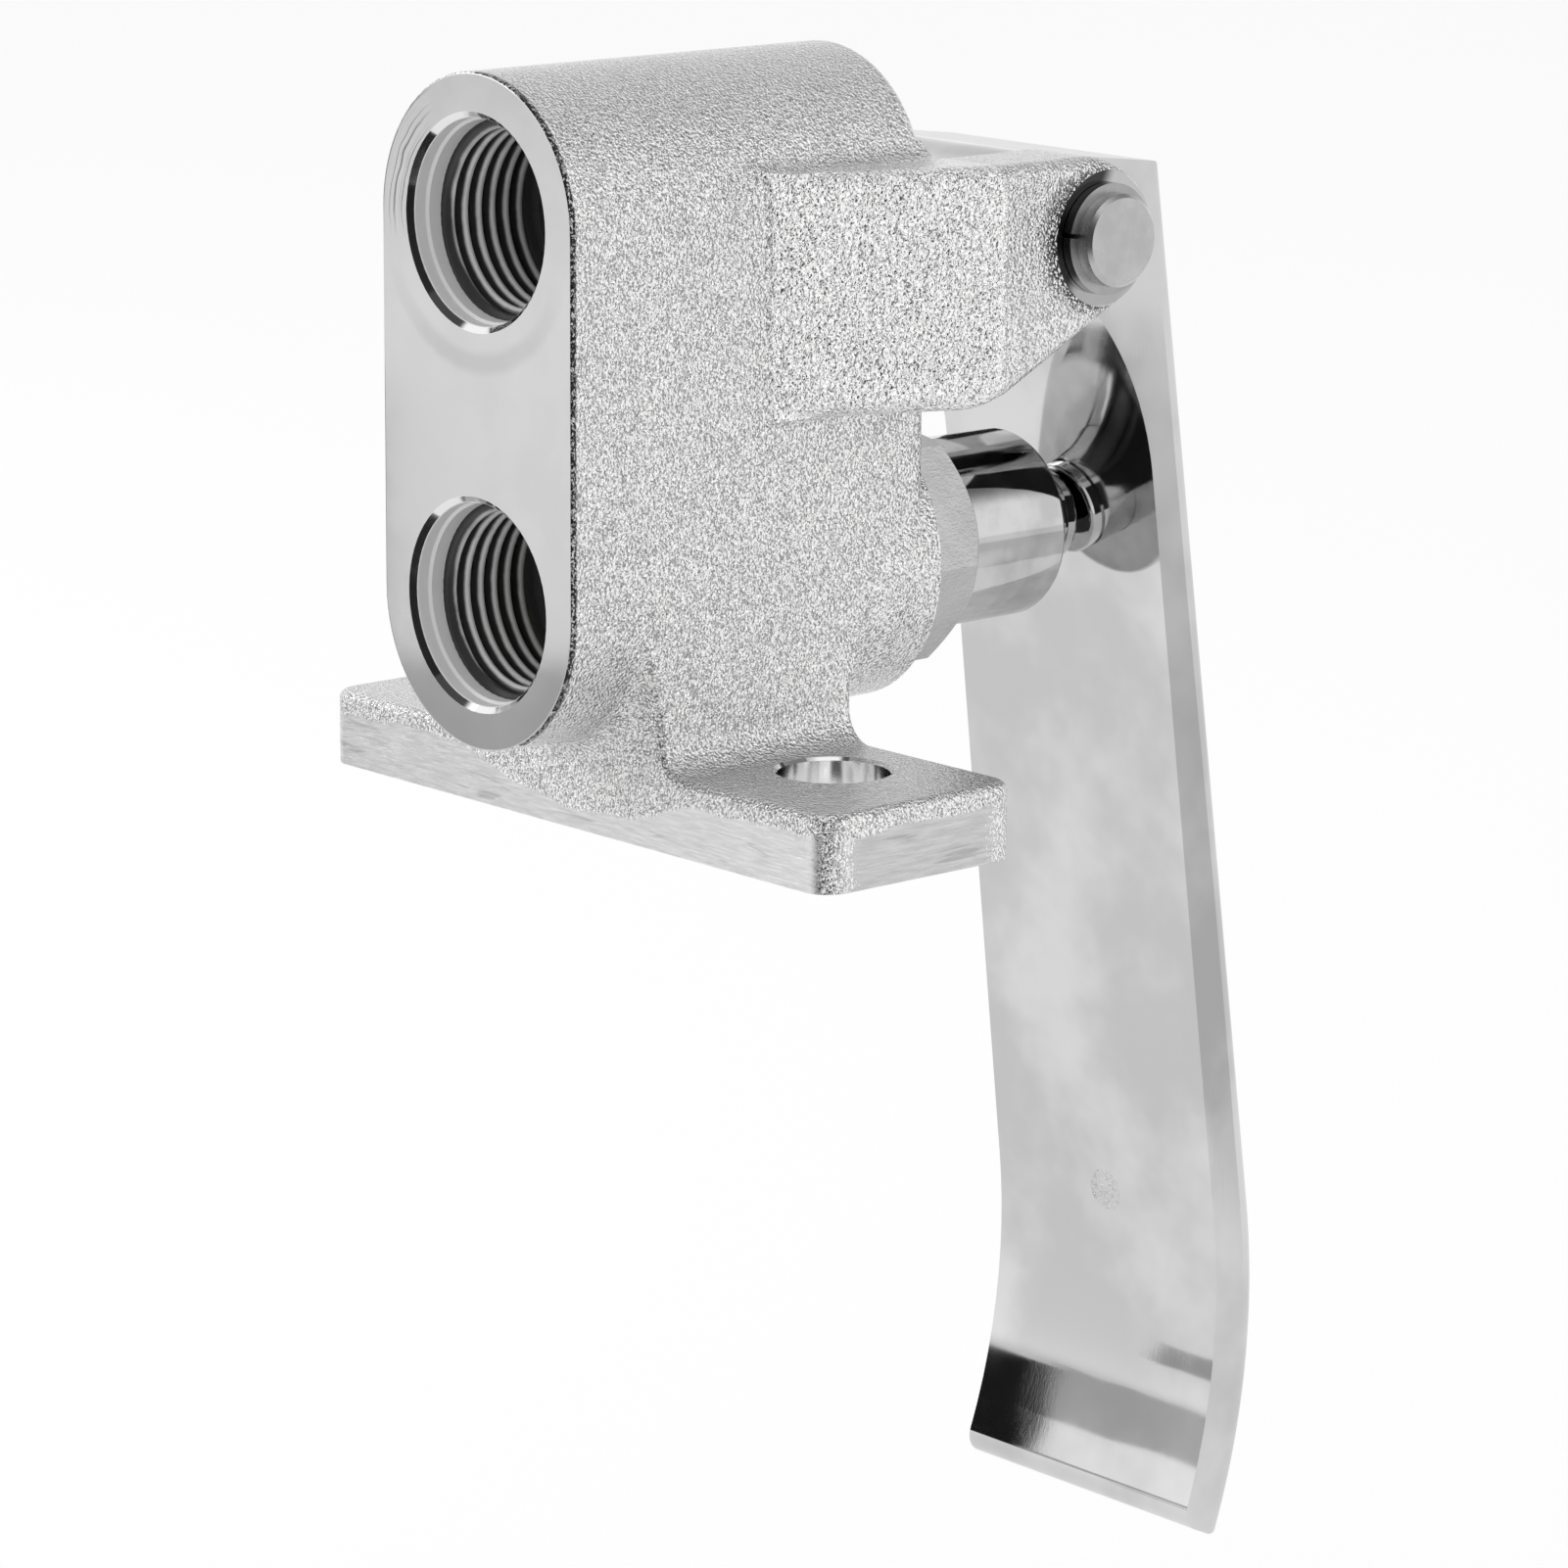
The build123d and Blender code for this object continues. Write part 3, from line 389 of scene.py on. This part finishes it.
def cast_chrome_material():
    """Plated casting: rough skin, polished port face, ground flange sides, machined bores."""
    material, tree, shader = start_material("cast_chrome", 1.0)
    place, x, y, z = millimetres(tree)
    side = calc(tree, "ABSOLUTE", x)
    grain = place_group(tree, cast_grain, {"Vector": place, "Grain": SKIN_GRAIN})
    coarse = place_group(tree, cast_grain, {"Vector": place, "Grain": FLANK_GRAIN})
    marks = place_group(tree, scratches, {"Vector": place, "Along": (0.10, 0.10, 1.0), "Fineness": 2.6})
    haze = place_group(tree, polish_haze, {"Vector": place, "Size": 9.0})
    slope, cloud = grain.outputs["Slope"], grain.outputs["Cloud"]

    # Machined places: port face, bores, bolt holes, spot faces round the pin, the boss's end
    port_face = at(tree, y, PORT_FACE_Y)
    to_lower = distance(tree, x, off(tree, z, LOWER_PORT_Z))
    to_upper = distance(tree, x, off(tree, z, UPPER_PORT_Z))
    to_port = calc(tree, "MINIMUM", to_lower, to_upper)
    in_bore = times(tree, below(tree, to_port, PORT_MOUTH_RADIUS + 0.02), below(tree, y, BORE_END_Y))
    to_bolt = distance(tree, off(tree, side, BOLT_X), y)
    within_hole = below(tree, to_bolt, BOLT_HOLE_RADIUS + BOLT_HOLE_CHAMFER + 0.01)
    in_bolt_hole = times(tree, within_hole, below(tree, z, FLANGE_TOP_Z))
    to_pin = distance(tree, off(tree, y, PIN_Y), off(tree, z, PIN_Z))
    spot_face = below(tree, to_pin, SPOT_FACE_RADIUS + 0.02)
    boss_face = at(tree, y, BOSS_END_Y)
    in_hole = largest(tree, in_bore, in_bolt_hole)
    machined = largest(tree, in_hole, spot_face, boss_face, port_face)

    # Ground places: the flange's underside and its sides, up to a wandering line. The end side of each
    # corner stays cast
    past_end = largest(tree, off(tree, side, FLANGE_END_X - FLANGE_CORNER), 0.0)
    from_mid = calc(tree, "ABSOLUTE", off(tree, y, (FLANGE_FRONT_Y + FLANGE_BACK_Y) / 2))
    corner_start = (FLANGE_BACK_Y - FLANGE_FRONT_Y) / 2 - FLANGE_CORNER
    past_front = largest(tree, off(tree, from_mid, corner_start), 0.0)
    ground_sides = at(tree, distance(tree, past_end, past_front), FLANGE_CORNER)
    past_ridge = calc(tree, "SUBTRACT", past_end, plus(tree, past_front, times(tree, slope, 3.0)))
    near_corner = above(tree, plus(tree, from_mid, times(tree, slope, 6.0)), corner_start - 0.4)
    cast_corner = times(tree, above(tree, past_ridge, -1.0), near_corner)
    from_pillar = calc(tree, "ABSOLUTE", off(tree, x, 2.0))
    wander = plus(tree, times(tree, cloud, 3.0), fade(tree, from_pillar, 6.0, 20.0, 3.4, 0.0))
    ground_reach = fade(tree, plus(tree, z, wander), 7.0, 7.7, 1.0, 0.0)
    ground_sides = times(tree, ground_sides, opposite(tree, cast_corner), ground_reach)
    ground = largest(tree, at(tree, z, 0.0), ground_sides)
    rough = opposite(tree, largest(tree, machined, ground))

    # The flared flank of each ear is coarser and more pitted than the rest
    on_flank = times(
        tree,
        fade(tree, side, FLANK_START_X, FLANK_START_X + 0.5),
        fade(tree, y, FLANK_BACK_Y, FLANK_BACK_Y + 1.0, 1.0, 0.0),
        above(tree, z, FLANK_FOOT_Z),
    )
    flank_height = times(tree, coarse.outputs["Height"], 1.3)
    lumps = add(tree, "ShaderNodeMix", {0: on_flank, 2: grain.outputs["Height"], 3: flank_height}).outputs[0]
    height = plus(tree, times(tree, lumps, rough), times(tree, marks.outputs["Height"], ground, 0.45))

    # Colour of the skin: a little uneven in tone, with painted light and shade on the lumps' sides, dark
    # pits on the flanks, and painted shade on the ear round the pin
    # Painted light and shade: each lump is lit on one side and shaded on the other, by its slope
    skin = times(tree, fade(tree, cloud, 0.3, 0.7, 0.91, 0.98), fade(tree, slope, -0.15, 0.08, 0.42, 1.12))
    flank_skin = fade(tree, coarse.outputs["Slope"], -0.24, -0.10, 0.34, 1.10)
    skin = add(tree, "ShaderNodeMix", {0: on_flank, 2: skin, 3: flank_skin}).outputs[0]
    pitted = times(tree, coarse.outputs["Specks"], on_flank, 0.6)
    # Painted shade on the ear round the pin, strongest on the lumps' shaded sides
    near_pin = fade(tree, plus(tree, to_pin, times(tree, y, 0.16)), 12.6, 15.0, 1.0, 0.0)
    on_ear = above(tree, side, EAR_SIDE_X)
    pin_painted_shade = times(tree, near_pin, fade(tree, slope, 0.0, 0.12, 1.0, 0.0), on_ear, 0.9)
    colour = blend_colours(tree, largest(tree, pitted, pin_painted_shade), even_grey(tree, skin), grey(PAINTED_SHADE_GREY))

    # Colour of the port face: a faint ring where a fitting sat, and fine arc scratches round the upper
    # port at its left
    face_level = fade(tree, haze.outputs["Cloud"], 0.35, 0.65, 0.635, 0.68)
    ring_stain = times(
        tree,
        fade(tree, to_upper, 12.9, 14.2),
        fade(tree, to_upper, 14.9, 16.2, 1.0, 0.0),
        fade(tree, z, 50.0, 62.0, 0.14, 0.0),
        port_face,
    )
    face_level = times(tree, face_level, opposite(tree, ring_stain))
    drift = calc(tree, "MULTIPLY_ADD", cloud, 1.4, times(tree, x, 0.05))
    arcs = add(
        tree,
        "ShaderNodeTexNoise",
        {"Scale": 3.2, "Detail": 3.0, "Roughness": 0.6, "W": plus(tree, to_upper, drift)},
        noise_dimensions="1D",
    ).outputs[0]
    rim_mark = times(
        tree, fade(tree, to_upper, 15.05, 15.25), fade(tree, haze.outputs["Cloud"], 0.40, 0.50, 0.3, 0.9)
    )
    arc_marks = times(
        tree,
        largest(tree, fade(tree, arcs, 0.57, 0.62, 0.0, 0.8), rim_mark),
        fade(tree, x, -11.5, -6.0, 1.0, 0.0),
        fade(tree, z, 62.0, 67.0),
        port_face,
    )

    # Colour of the holes, with painted shade deep in the ports, and of the ground places
    machined_colour = blend_colours(tree, in_hole, even_grey(tree, face_level), grey(BORE_GREY))
    machined_colour = blend_colours(tree, arc_marks, machined_colour, grey(ARC_GREY))
    # Painted shade: the ports darken towards their inner end
    deep = times(tree, in_bore, fade(tree, y, PORT_FACE_Y + 12.0, PORT_FACE_Y + 15.5, 0.0, 0.93))
    machined_colour = blend_colours(tree, deep, machined_colour, grey(PAINTED_SHADE_GREY))
    # Painted shade: the flange's ground ends are a fifth darker than its front and back
    end_painted_shade = fade(tree, past_end, FLANGE_CORNER - 0.2, FLANGE_CORNER - 0.1, 1.0, 0.8)
    ground_level = times(tree, end_painted_shade, fade(tree, marks.outputs["Height"], 0.3, 0.7, 0.74, 0.92))
    ground_scratch = times(tree, marks.outputs["Deep"], 0.35)
    ground_colour = blend_colours(tree, ground_scratch, even_grey(tree, ground_level), grey(SCRATCH_GREY))
    colour = blend_colours(tree, machined, colour, machined_colour)
    colour = blend_colours(tree, ground, colour, ground_colour)

    # Painted shade in the spot faces on their side towards the ports, and a painted dark reflection along
    # the edge behind the port face
    towards_ports = plus(tree, off(tree, y, PIN_Y), times(tree, off(tree, z, PIN_Z), -0.45))
    spot_face_painted_shade = times(tree, spot_face, fade(tree, towards_ports, -3.4, -1.2, 0.96, 0.0))
    colour = blend_colours(tree, spot_face_painted_shade, colour, grey(SPOT_FACE_SHADE_GREY))
    # Painted dark reflection: a dark line along the edge behind the port face, on the side towards +X
    edge_painted_reflection = times(
        tree,
        fade(tree, y, PORT_FACE_Y + 0.55, PORT_FACE_Y + 0.85, 1.0, 0.0),
        above(tree, y, PORT_FACE_Y + 0.03),
        above(tree, plus(tree, x, times(tree, z, 0.1)), 8.0),
        fade(tree, coarse.outputs["Slope"], -0.02, 0.12, 1.0, 0.35),
    )
    colour = blend_colours(tree, edge_painted_reflection, colour, grey(PAINTED_SHADE_GREY))

    # The turned walls of the ports are duller than the plated skin
    bore_wall = times(tree, in_bore, below(tree, to_port, PORT_MOUTH_RADIUS - 0.6))
    roughness = plus(
        tree,
        times(tree, rough, 0.15),
        times(tree, ground, 0.34),
        times(tree, machined, fade(tree, haze.outputs["Cloud"], 0.3, 0.7, 0.06, 0.11)),
        times(tree, bore_wall, 0.3),
    )
    tree.links.new(opposite(tree, times(tree, bore_wall, 0.9)), shader.inputs["Metallic"])
    finish_shader(tree, shader, colour, roughness, height, SKIN_HEIGHT)
    return material


def polished_material(name, level, smoothness, size, along, wave_depth, mark=None):
    """Mirror chrome with slow waves, haze and fine rubbing marks, and a round scuff where one is given."""
    material, tree, shader = start_material(name, 1.0)
    place, x, y, z = millimetres(tree)
    haze = place_group(tree, polish_haze, {"Vector": place, "Size": size})
    marks = place_group(tree, scratches, {"Vector": place, "Along": along, "Fineness": 4.0})
    shade = fade(tree, haze.outputs["Cloud"], 0.38, 0.62, level * 0.82, level * 1.03)
    colour = even_grey(tree, shade)
    roughness = fade(tree, haze.outputs["Cloud"], 0.35, 0.7, smoothness, smoothness + 0.05)
    height = plus(tree, haze.outputs["Wave"], times(tree, marks.outputs["Height"], 0.012))
    if mark:
        scuff = place_group(tree, cast_grain, {"Vector": place, "Grain": 0.55})
        beside = distance(tree, off(tree, x, mark[0]), off(tree, z, mark[2]))
        to_mark = distance(tree, beside, off(tree, y, mark[1]))
        scuffed = fade(tree, plus(tree, to_mark, scuff.outputs["Cloud"]), 2.6, 3.3, 1.0, 0.0)
        roughness = plus(tree, roughness, times(tree, scuffed, 0.22))
        height = plus(tree, height, times(tree, scuff.outputs["Height"], scuffed, 3.0))
    finish_shader(tree, shader, colour, roughness, height, wave_depth)
    return material


def satin_chrome_material():
    """Plated hexagon: fine even grain under light brushing."""
    material, tree, shader = start_material("satin_chrome", 1.0)
    place = millimetres(tree)[0]
    grain = place_group(tree, cast_grain, {"Vector": place, "Grain": 0.35})
    marks = place_group(tree, scratches, {"Vector": place, "Along": (1.0, 0.08, 1.0), "Fineness": 3.0})
    colour = even_grey(tree, fade(tree, grain.outputs["Cloud"], 0.3, 0.7, 0.58, 0.68))
    height = plus(tree, grain.outputs["Height"], times(tree, marks.outputs["Height"], 0.5))
    finish_shader(tree, shader, colour, 0.27, height, 0.03)
    return material


def turned_material(name, colour, roughness, axis, centre, feed, depth, metallic=1.0):
    """A turned surface: rings round an axis on its ends, and along the axis on its side."""
    material, tree, shader = start_material(name, metallic)
    place, x, y, z = millimetres(tree)
    parts = {"X": x, "Y": y, "Z": z}
    others = [label for label in "XYZ" if label != axis]
    radius = distance(
        tree, off(tree, parts[others[0]], centre[0]), off(tree, parts[others[1]], centre[1])
    )
    rings = place_group(
        tree, turning_marks, {"Vector": place, "Distance": plus(tree, radius, parts[axis]), "Feed": feed}
    )
    haze = place_group(tree, polish_haze, {"Vector": place, "Size": 3.0})
    duller = [c * 0.86 for c in colour[:3]] + [1.0]
    tint = blend_colours(tree, fade(tree, haze.outputs["Cloud"], 0.3, 0.7), colour, duller)
    rough = fade(tree, haze.outputs["Cloud"], 0.3, 0.7, roughness, roughness + 0.1)
    finish_shader(tree, shader, tint, rough, rings.outputs[0], depth)
    around = add(tree, "ShaderNodeTangent", direction_type="RADIAL", axis=axis)
    tree.links.new(around.outputs[0], shader.inputs["Tangent"])
    shader.inputs["Anisotropic"].default_value = 0.7
    return material


def thread_material():
    """Cut thread: bright along the crests, with painted shade down in the roots and deeper in the port."""
    material, tree, shader = start_material("thread_chrome", 0.12)
    place, x, y, z = millimetres(tree)
    to_lower = distance(tree, x, off(tree, z, LOWER_PORT_Z))
    to_upper = distance(tree, x, off(tree, z, UPPER_PORT_Z))
    radius = calc(tree, "MINIMUM", to_lower, to_upper)
    across = plus(tree, radius, y)
    rings = place_group(tree, turning_marks, {"Vector": place, "Distance": across, "Feed": 0.22})
    haze = place_group(tree, polish_haze, {"Vector": place, "Size": 2.5})
    depth = plus(tree, radius, times(tree, haze.outputs["Cloud"], 0.3))
    # Painted shade: darker from crest to root, and darker still deeper in the port
    shade = fade(tree, depth, THREAD_CREST_RADIUS + 0.16, THREAD_CREST_RADIUS + 0.55, 0.92, 0.05)
    inward_painted_shade = fade(tree, y, PORT_FACE_Y + 8.0, PORT_FACE_Y + 16.0, 1.0, 0.55)
    shade = times(tree, shade, inward_painted_shade)
    finish_shader(tree, shader, even_grey(tree, shade), 0.34, rings.outputs[0], 0.004)
    return material


def soft_material(name, colour, roughness, grain_size, depth):
    """Rubber, fibre or plastic: a fine matt grain, a little uneven in colour."""
    material, tree, shader = start_material(name, 0.0)
    place = millimetres(tree)[0]
    grain = place_group(tree, cast_grain, {"Vector": place, "Grain": grain_size})
    darker = [c * 0.8 for c in colour[:3]] + [1.0]
    tint = blend_colours(tree, fade(tree, grain.outputs["Cloud"], 0.3, 0.7), colour, darker)
    finish_shader(tree, shader, tint, roughness, grain.outputs["Height"], depth)
    return material


def spring_material():
    """Drawn wire, with fine lines that follow the coils."""
    material, tree, shader = start_material("spring_wire", 1.0)
    place, x, y, z = millimetres(tree)
    radius = distance(tree, x, off(tree, z, LOWER_PORT_Z))
    rings = place_group(tree, turning_marks, {"Vector": place, "Distance": radius, "Feed": 0.09})
    haze = place_group(tree, polish_haze, {"Vector": place, "Size": 2.0})
    colour = even_grey(tree, fade(tree, haze.outputs["Cloud"], 0.3, 0.7, 0.42, 0.56))
    finish_shader(tree, shader, colour, 0.3, rings.outputs[0], 0.01)
    return material


ROD_CENTRE = (0.0, LOWER_PORT_Z)
BRASS = (0.72, 0.55, 0.29, 1.0)
materials = {
    "cast": cast_chrome_material(),
    "pedal": polished_material("pedal_chrome", 0.75, 0.035, 26.0, (1.0, 1.0, 0.05), 0.08, PEDAL_SCUFF),
    "cap": polished_material("cap_chrome", 0.64, 0.04, 8.0, (1.0, 0.05, 1.0), 0.02),
    "rod": polished_material("rod_chrome", 0.68, 0.04, 5.0, (1.0, 0.05, 1.0), 0.01),
    "satin": satin_chrome_material(),
    "pin": turned_material("turned_steel", grey(0.62), 0.24, "X", (PIN_Y, PIN_Z), 0.16, 0.012),
    "ring": turned_material("ring_steel", grey(0.5), 0.3, "X", (PIN_Y, PIN_Z), 0.3, 0.006),
    "thread": thread_material(),
    "brass": turned_material("turned_brass", BRASS, 0.22, "Y", ROD_CENTRE, 0.14, 0.01),
    "spring": spring_material(),
    "rubber": soft_material("seal_rubber", grey(0.035), 0.55, 0.25, 0.02),
    "fibre": soft_material("gasket_fibre", (0.3, 0.09, 0.06, 1.0), 0.75, 0.2, 0.04),
    "plastic": soft_material("bush_plastic", grey(0.8, 0.03), 0.45, 0.3, 0.01),
}

FINISHES = {
    "cast": ["valve_body"],
    "pedal": ["pedal_lever"],
    "cap": ["spring_cap"],
    "rod": ["push_rod"],
    "satin": ["bonnet"],
    "pin": ["pivot_pin"],
    "ring": ["pin_ring_left", "pin_ring_right"],
    "brass": [
        "seat_ring",
        "spring_collar",
        "spring_washer",
        "valve_spindle",
        "disc_holder",
        "disc_nut",
    ],
    "spring": ["return_spring"],
    "rubber": ["bonnet_ring", "stem_ring_front", "stem_ring_back", "rod_wiper", "disc_rubber"],
    "fibre": ["seat_gasket"],
    "plastic": ["hinge_bush_left", "hinge_bush_right"],
}
for finish, names in FINISHES.items():
    for name in names:
        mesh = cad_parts[name].data
        mesh.materials.clear()
        mesh.materials.append(materials[finish])


# Pieces made here
def new_piece(name, form, material, body):
    """A finished piece from a bmesh in metres: normals outward, riding on its body."""
    mesh = bpy.data.meshes.new(name)
    bmesh.ops.recalc_face_normals(form, faces=form.faces)
    form.to_mesh(mesh)
    form.free()
    piece = bpy.data.objects.new(name, mesh)
    bpy.context.scene.collection.objects.link(piece)
    mesh.materials.append(material)
    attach(piece, body)
    return piece


def make_thread(name, height):
    """One port's thread: a ridge wound along the bore, turned away to a slope at its mouth."""
    form = bmesh.new()
    start_y = PORT_FACE_Y + THREAD_START_DEPTH
    slope_y = PORT_FACE_Y + THREAD_SLOPE_DEPTH
    half_root = THREAD_PITCH * 0.49
    half_crest = THREAD_PITCH * 0.11
    shoulder = THREAD_CREST_RADIUS + 0.14
    outline = [
        (THREAD_ROOT_RADIUS, -half_root),
        (shoulder, -half_crest * 1.7),
        (THREAD_CREST_RADIUS, -half_crest * 0.8),
        (THREAD_CREST_RADIUS, half_crest * 0.8),
        (shoulder, half_crest * 1.7),
        (THREAD_ROOT_RADIUS, half_root),
    ]
    corners = [
        form.verts.new((radius * MM, (start_y + half_root + along) * MM, height * MM))
        for radius, along in outline
    ]
    section = form.faces.new(corners)
    steps = round(STEPS_PER_TURN * THREAD_TURNS)
    bmesh.ops.spin(
        form,
        geom=[section] + section.edges[:] + section.verts[:],
        cent=(0, 0, height * MM),
        axis=(0, 1, 0),
        dvec=(0, THREAD_PITCH * THREAD_TURNS / steps * MM, 0),
        angle=2 * pi * THREAD_TURNS,
        steps=steps,
        use_merge=False,
        use_duplicate=False,
    )
    for point in form.verts:
        radius = hypot(point.co.x, point.co.z - height * MM) / MM
        least = THREAD_ROOT_RADIUS - max(point.co.y / MM - slope_y, 0)
        if radius < least:
            point.co.x *= least / radius
            point.co.z = height * MM + (point.co.z - height * MM) * least / radius
    piece = new_piece(name, form, materials["thread"], "valve")
    for face in piece.data.polygons:
        face.use_smooth = True


def make_return_spring():
    """The return spring, copied from the CAD part as a piece of its own that rides on the valve."""
    form = bmesh.new()
    form.from_mesh(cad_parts["return_spring"].data)
    spring = new_piece("return_spring_coil", form, materials["spring"], "valve")
    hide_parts("return_spring")
    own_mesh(spring)


make_thread("port_thread_lower", LOWER_PORT_Z)
make_thread("port_thread_upper", UPPER_PORT_Z)
make_return_spring()

# Camera: where the photograph was taken from, as fitted to the object's edges and round mouths
CAMERA_PLACE = (0.491505, -0.419355, 0.151530)
CAMERA_YAW = 48.511
CAMERA_DOWN = 13.007
CAMERA_ROLL = 0.352
CAMERA_LENS = 141.216

camera_data = bpy.data.cameras.new("photo_camera")
camera_data.sensor_width = 36.0
camera_data.lens = CAMERA_LENS
camera = bpy.data.objects.new("photo_camera", camera_data)
bpy.context.scene.collection.objects.link(camera)
turn = (
    Matrix.Rotation(radians(CAMERA_YAW), 4, "Z")
    @ Matrix.Rotation(radians(90 - CAMERA_DOWN), 4, "X")
    @ Matrix.Rotation(radians(CAMERA_ROLL), 4, "Z")
)
camera.matrix_world = Matrix.Translation(CAMERA_PLACE) @ turn
bpy.context.scene.camera = camera

# Floor, well below the object
FLOOR_Z = -0.16
FLOOR_SIZE = 12.0


def make_floor():
    """A plain pale floor, which shows white to the camera and in the metal, and keeps the shadow."""
    form = bmesh.new()
    bmesh.ops.create_grid(form, x_segments=1, y_segments=1, size=FLOOR_SIZE / 2)
    bmesh.ops.translate(form, vec=(0, 0, FLOOR_Z), verts=form.verts)
    mesh = bpy.data.meshes.new("floor")
    form.to_mesh(mesh)
    form.free()
    floor = bpy.data.objects.new("floor", mesh)
    bpy.context.scene.collection.objects.link(floor)
    material = bpy.data.materials.new("pale_floor")
    material.use_nodes = True
    tree = material.node_tree
    tree.nodes.clear()
    paint = add(tree, "ShaderNodeBsdfDiffuse", {"Color": grey(0.86)})
    rays = add(tree, "ShaderNodeLightPath")
    mirrored = calc(tree, "MAXIMUM", rays.outputs["Is Glossy Ray"], rays.outputs["Is Transmission Ray"])
    strength = plus(tree, times(tree, rays.outputs["Is Camera Ray"], 0.26), times(tree, mirrored, 0.12))
    glow = add(tree, "ShaderNodeEmission", {"Color": grey(1.0), "Strength": strength})
    both = add(tree, "ShaderNodeAddShader", {0: paint.outputs[0], 1: glow.outputs[0]})
    surface = add(tree, "ShaderNodeOutputMaterial")
    tree.links.new(both.outputs[0], surface.inputs["Surface"])
    mesh.materials.append(material)


make_floor()


# Lamps and surroundings
def soft_lamp(name, place, target, width, height, power):
    """A rectangular soft lamp that faces a point."""
    data = bpy.data.lights.new(name, "AREA")
    data.shape = "RECTANGLE"
    data.size = width
    data.size_y = height
    data.energy = power
    lamp = bpy.data.objects.new(name, data)
    bpy.context.scene.collection.objects.link(lamp)
    lamp.location = place
    lamp.rotation_euler = (Vector(target) - Vector(place)).to_track_quat("-Z", "Y").to_euler()


soft_lamp("lamp_left", (-1.2, -1.0, 0.9), (0, 0, 0), 0.9, 0.9, 4.0)


def card(name, corners, level, glow=0.0):
    """A flat card of the studio, given by its corners in metres. Only the metal mirrors it."""
    form = bmesh.new()
    form.faces.new([form.verts.new(corner) for corner in corners])
    mesh = bpy.data.meshes.new(name)
    form.to_mesh(mesh)
    form.free()
    piece = bpy.data.objects.new(name, mesh)
    bpy.context.scene.collection.objects.link(piece)
    material = bpy.data.materials.new(name)
    material.use_nodes = True
    tree = material.node_tree
    tree.nodes.clear()
    paint = add(tree, "ShaderNodeBsdfDiffuse", {"Color": grey(level)})
    shine = add(tree, "ShaderNodeEmission", {"Color": grey(1.0), "Strength": glow})
    both = add(tree, "ShaderNodeAddShader", {0: paint.outputs[0], 1: shine.outputs[0]})
    surface = add(tree, "ShaderNodeOutputMaterial")
    tree.links.new(both.outputs[0], surface.inputs["Surface"])
    mesh.materials.append(material)
    piece.visible_camera = False
    piece.visible_diffuse = False
    piece.visible_shadow = False


def upright_card(name, start, end, bottom, top, level, glow=0.0):
    """A card that stands on a line of the floor plan."""
    card(name, [(*start, bottom), (*end, bottom), (*end, top), (*start, top)], level, glow)


def floor_card(name, corners, level):
    """A card that lies just above the floor, given by its corners in plan."""
    card(name, [(*corner, FLOOR_Z + 0.002) for corner in corners], level)


# A black card and mat on the camera's side, a bright card at its right, a grey mat behind at the right
upright_card("camera_card", (-0.01, -0.583), (0.432, -0.192), -0.155, 0.65, 0.02)
CAMERA_MAT = [
    (-0.04, -0.10), (-0.04, -0.17), (0.04, -0.20), (0.12, -0.27), (0.25, -0.40), (0.40, -0.50),
    (0.40, -0.42), (0.24, -0.295), (0.125, -0.19), (0.06, -0.135),
]
floor_card("camera_mat", CAMERA_MAT, 0.02)
upright_card("bright_card", (0.59, -0.19), (0.566, 0.252), -0.155, 0.03, 0.8, 0.60)
RIGHT_MAT = [(0.224, 0.290), (0.55, 0.552), (1.2, 0.75), (1.2, 1.2), (0.38, 0.60)]
floor_card("right_mat", RIGHT_MAT, 0.74)
# Low cards at the left that the pedal's foot mirrors
upright_card("foot_card", (-0.2800, -0.2278), (-0.396, -0.120), -0.090, -0.008, 0.015)
upright_card("foot_rail", (-0.2800, -0.2278), (-0.165, -0.335), -0.093, -0.052, 0.66)
upright_card("foot_bar", (-0.2681, -0.2389), (-0.230, -0.274), -0.141, -0.123, 0.5)

# Zones of the world that only the metal mirrors: direction, inner and outer angle in degrees, darkness
DARK_ZONES = [
    ((0.20, 0.62, 0.75), 10.0, 32.0, 0.80),
    ((-0.47, 0.67, 0.57), 10.0, 35.0, 0.28),
    ((-0.22, -0.55, 0.80), 22.0, 29.0, 0.94),
]


def make_world():
    """Plain soft light, white to the camera, with a few dark zones that only the metal mirrors."""
    world = bpy.data.worlds.new("studio")
    bpy.context.scene.world = world
    world.use_nodes = True
    tree = world.node_tree
    tree.nodes.clear()
    towards = add(tree, "ShaderNodeTexCoord").outputs["Generated"]
    open_light = None
    for direction, core, edge, depth in DARK_ZONES:
        aim = Vector(direction).normalized()
        dot = add(
            tree, "ShaderNodeVectorMath", {0: towards, 1: tuple(aim)}, operation="DOT_PRODUCT"
        ).outputs["Value"]
        left = fade(tree, dot, cos(radians(edge)), cos(radians(core)), 1.0, 1.0 - depth)
        open_light = left if open_light is None else times(tree, open_light, left)
    mirrored = add(tree, "ShaderNodeBackground", {"Color": grey(1.0), "Strength": open_light})
    plain = add(tree, "ShaderNodeBackground", {"Color": grey(1.0), "Strength": 0.8})
    white = add(tree, "ShaderNodeBackground", {"Color": grey(1.0), "Strength": 1.0})
    rays = add(tree, "ShaderNodeLightPath")
    glossy = calc(tree, "MAXIMUM", rays.outputs["Is Glossy Ray"], rays.outputs["Is Transmission Ray"])
    first = add(tree, "ShaderNodeMixShader", {0: glossy, 1: plain.outputs[0], 2: mirrored.outputs[0]})
    seen = rays.outputs["Is Camera Ray"]
    second = add(tree, "ShaderNodeMixShader", {0: seen, 1: first.outputs[0], 2: white.outputs[0]})
    surface = add(tree, "ShaderNodeOutputWorld")
    tree.links.new(second.outputs[0], surface.inputs["Surface"])


make_world()

bpy.context.scene.view_settings.view_transform = "Standard"
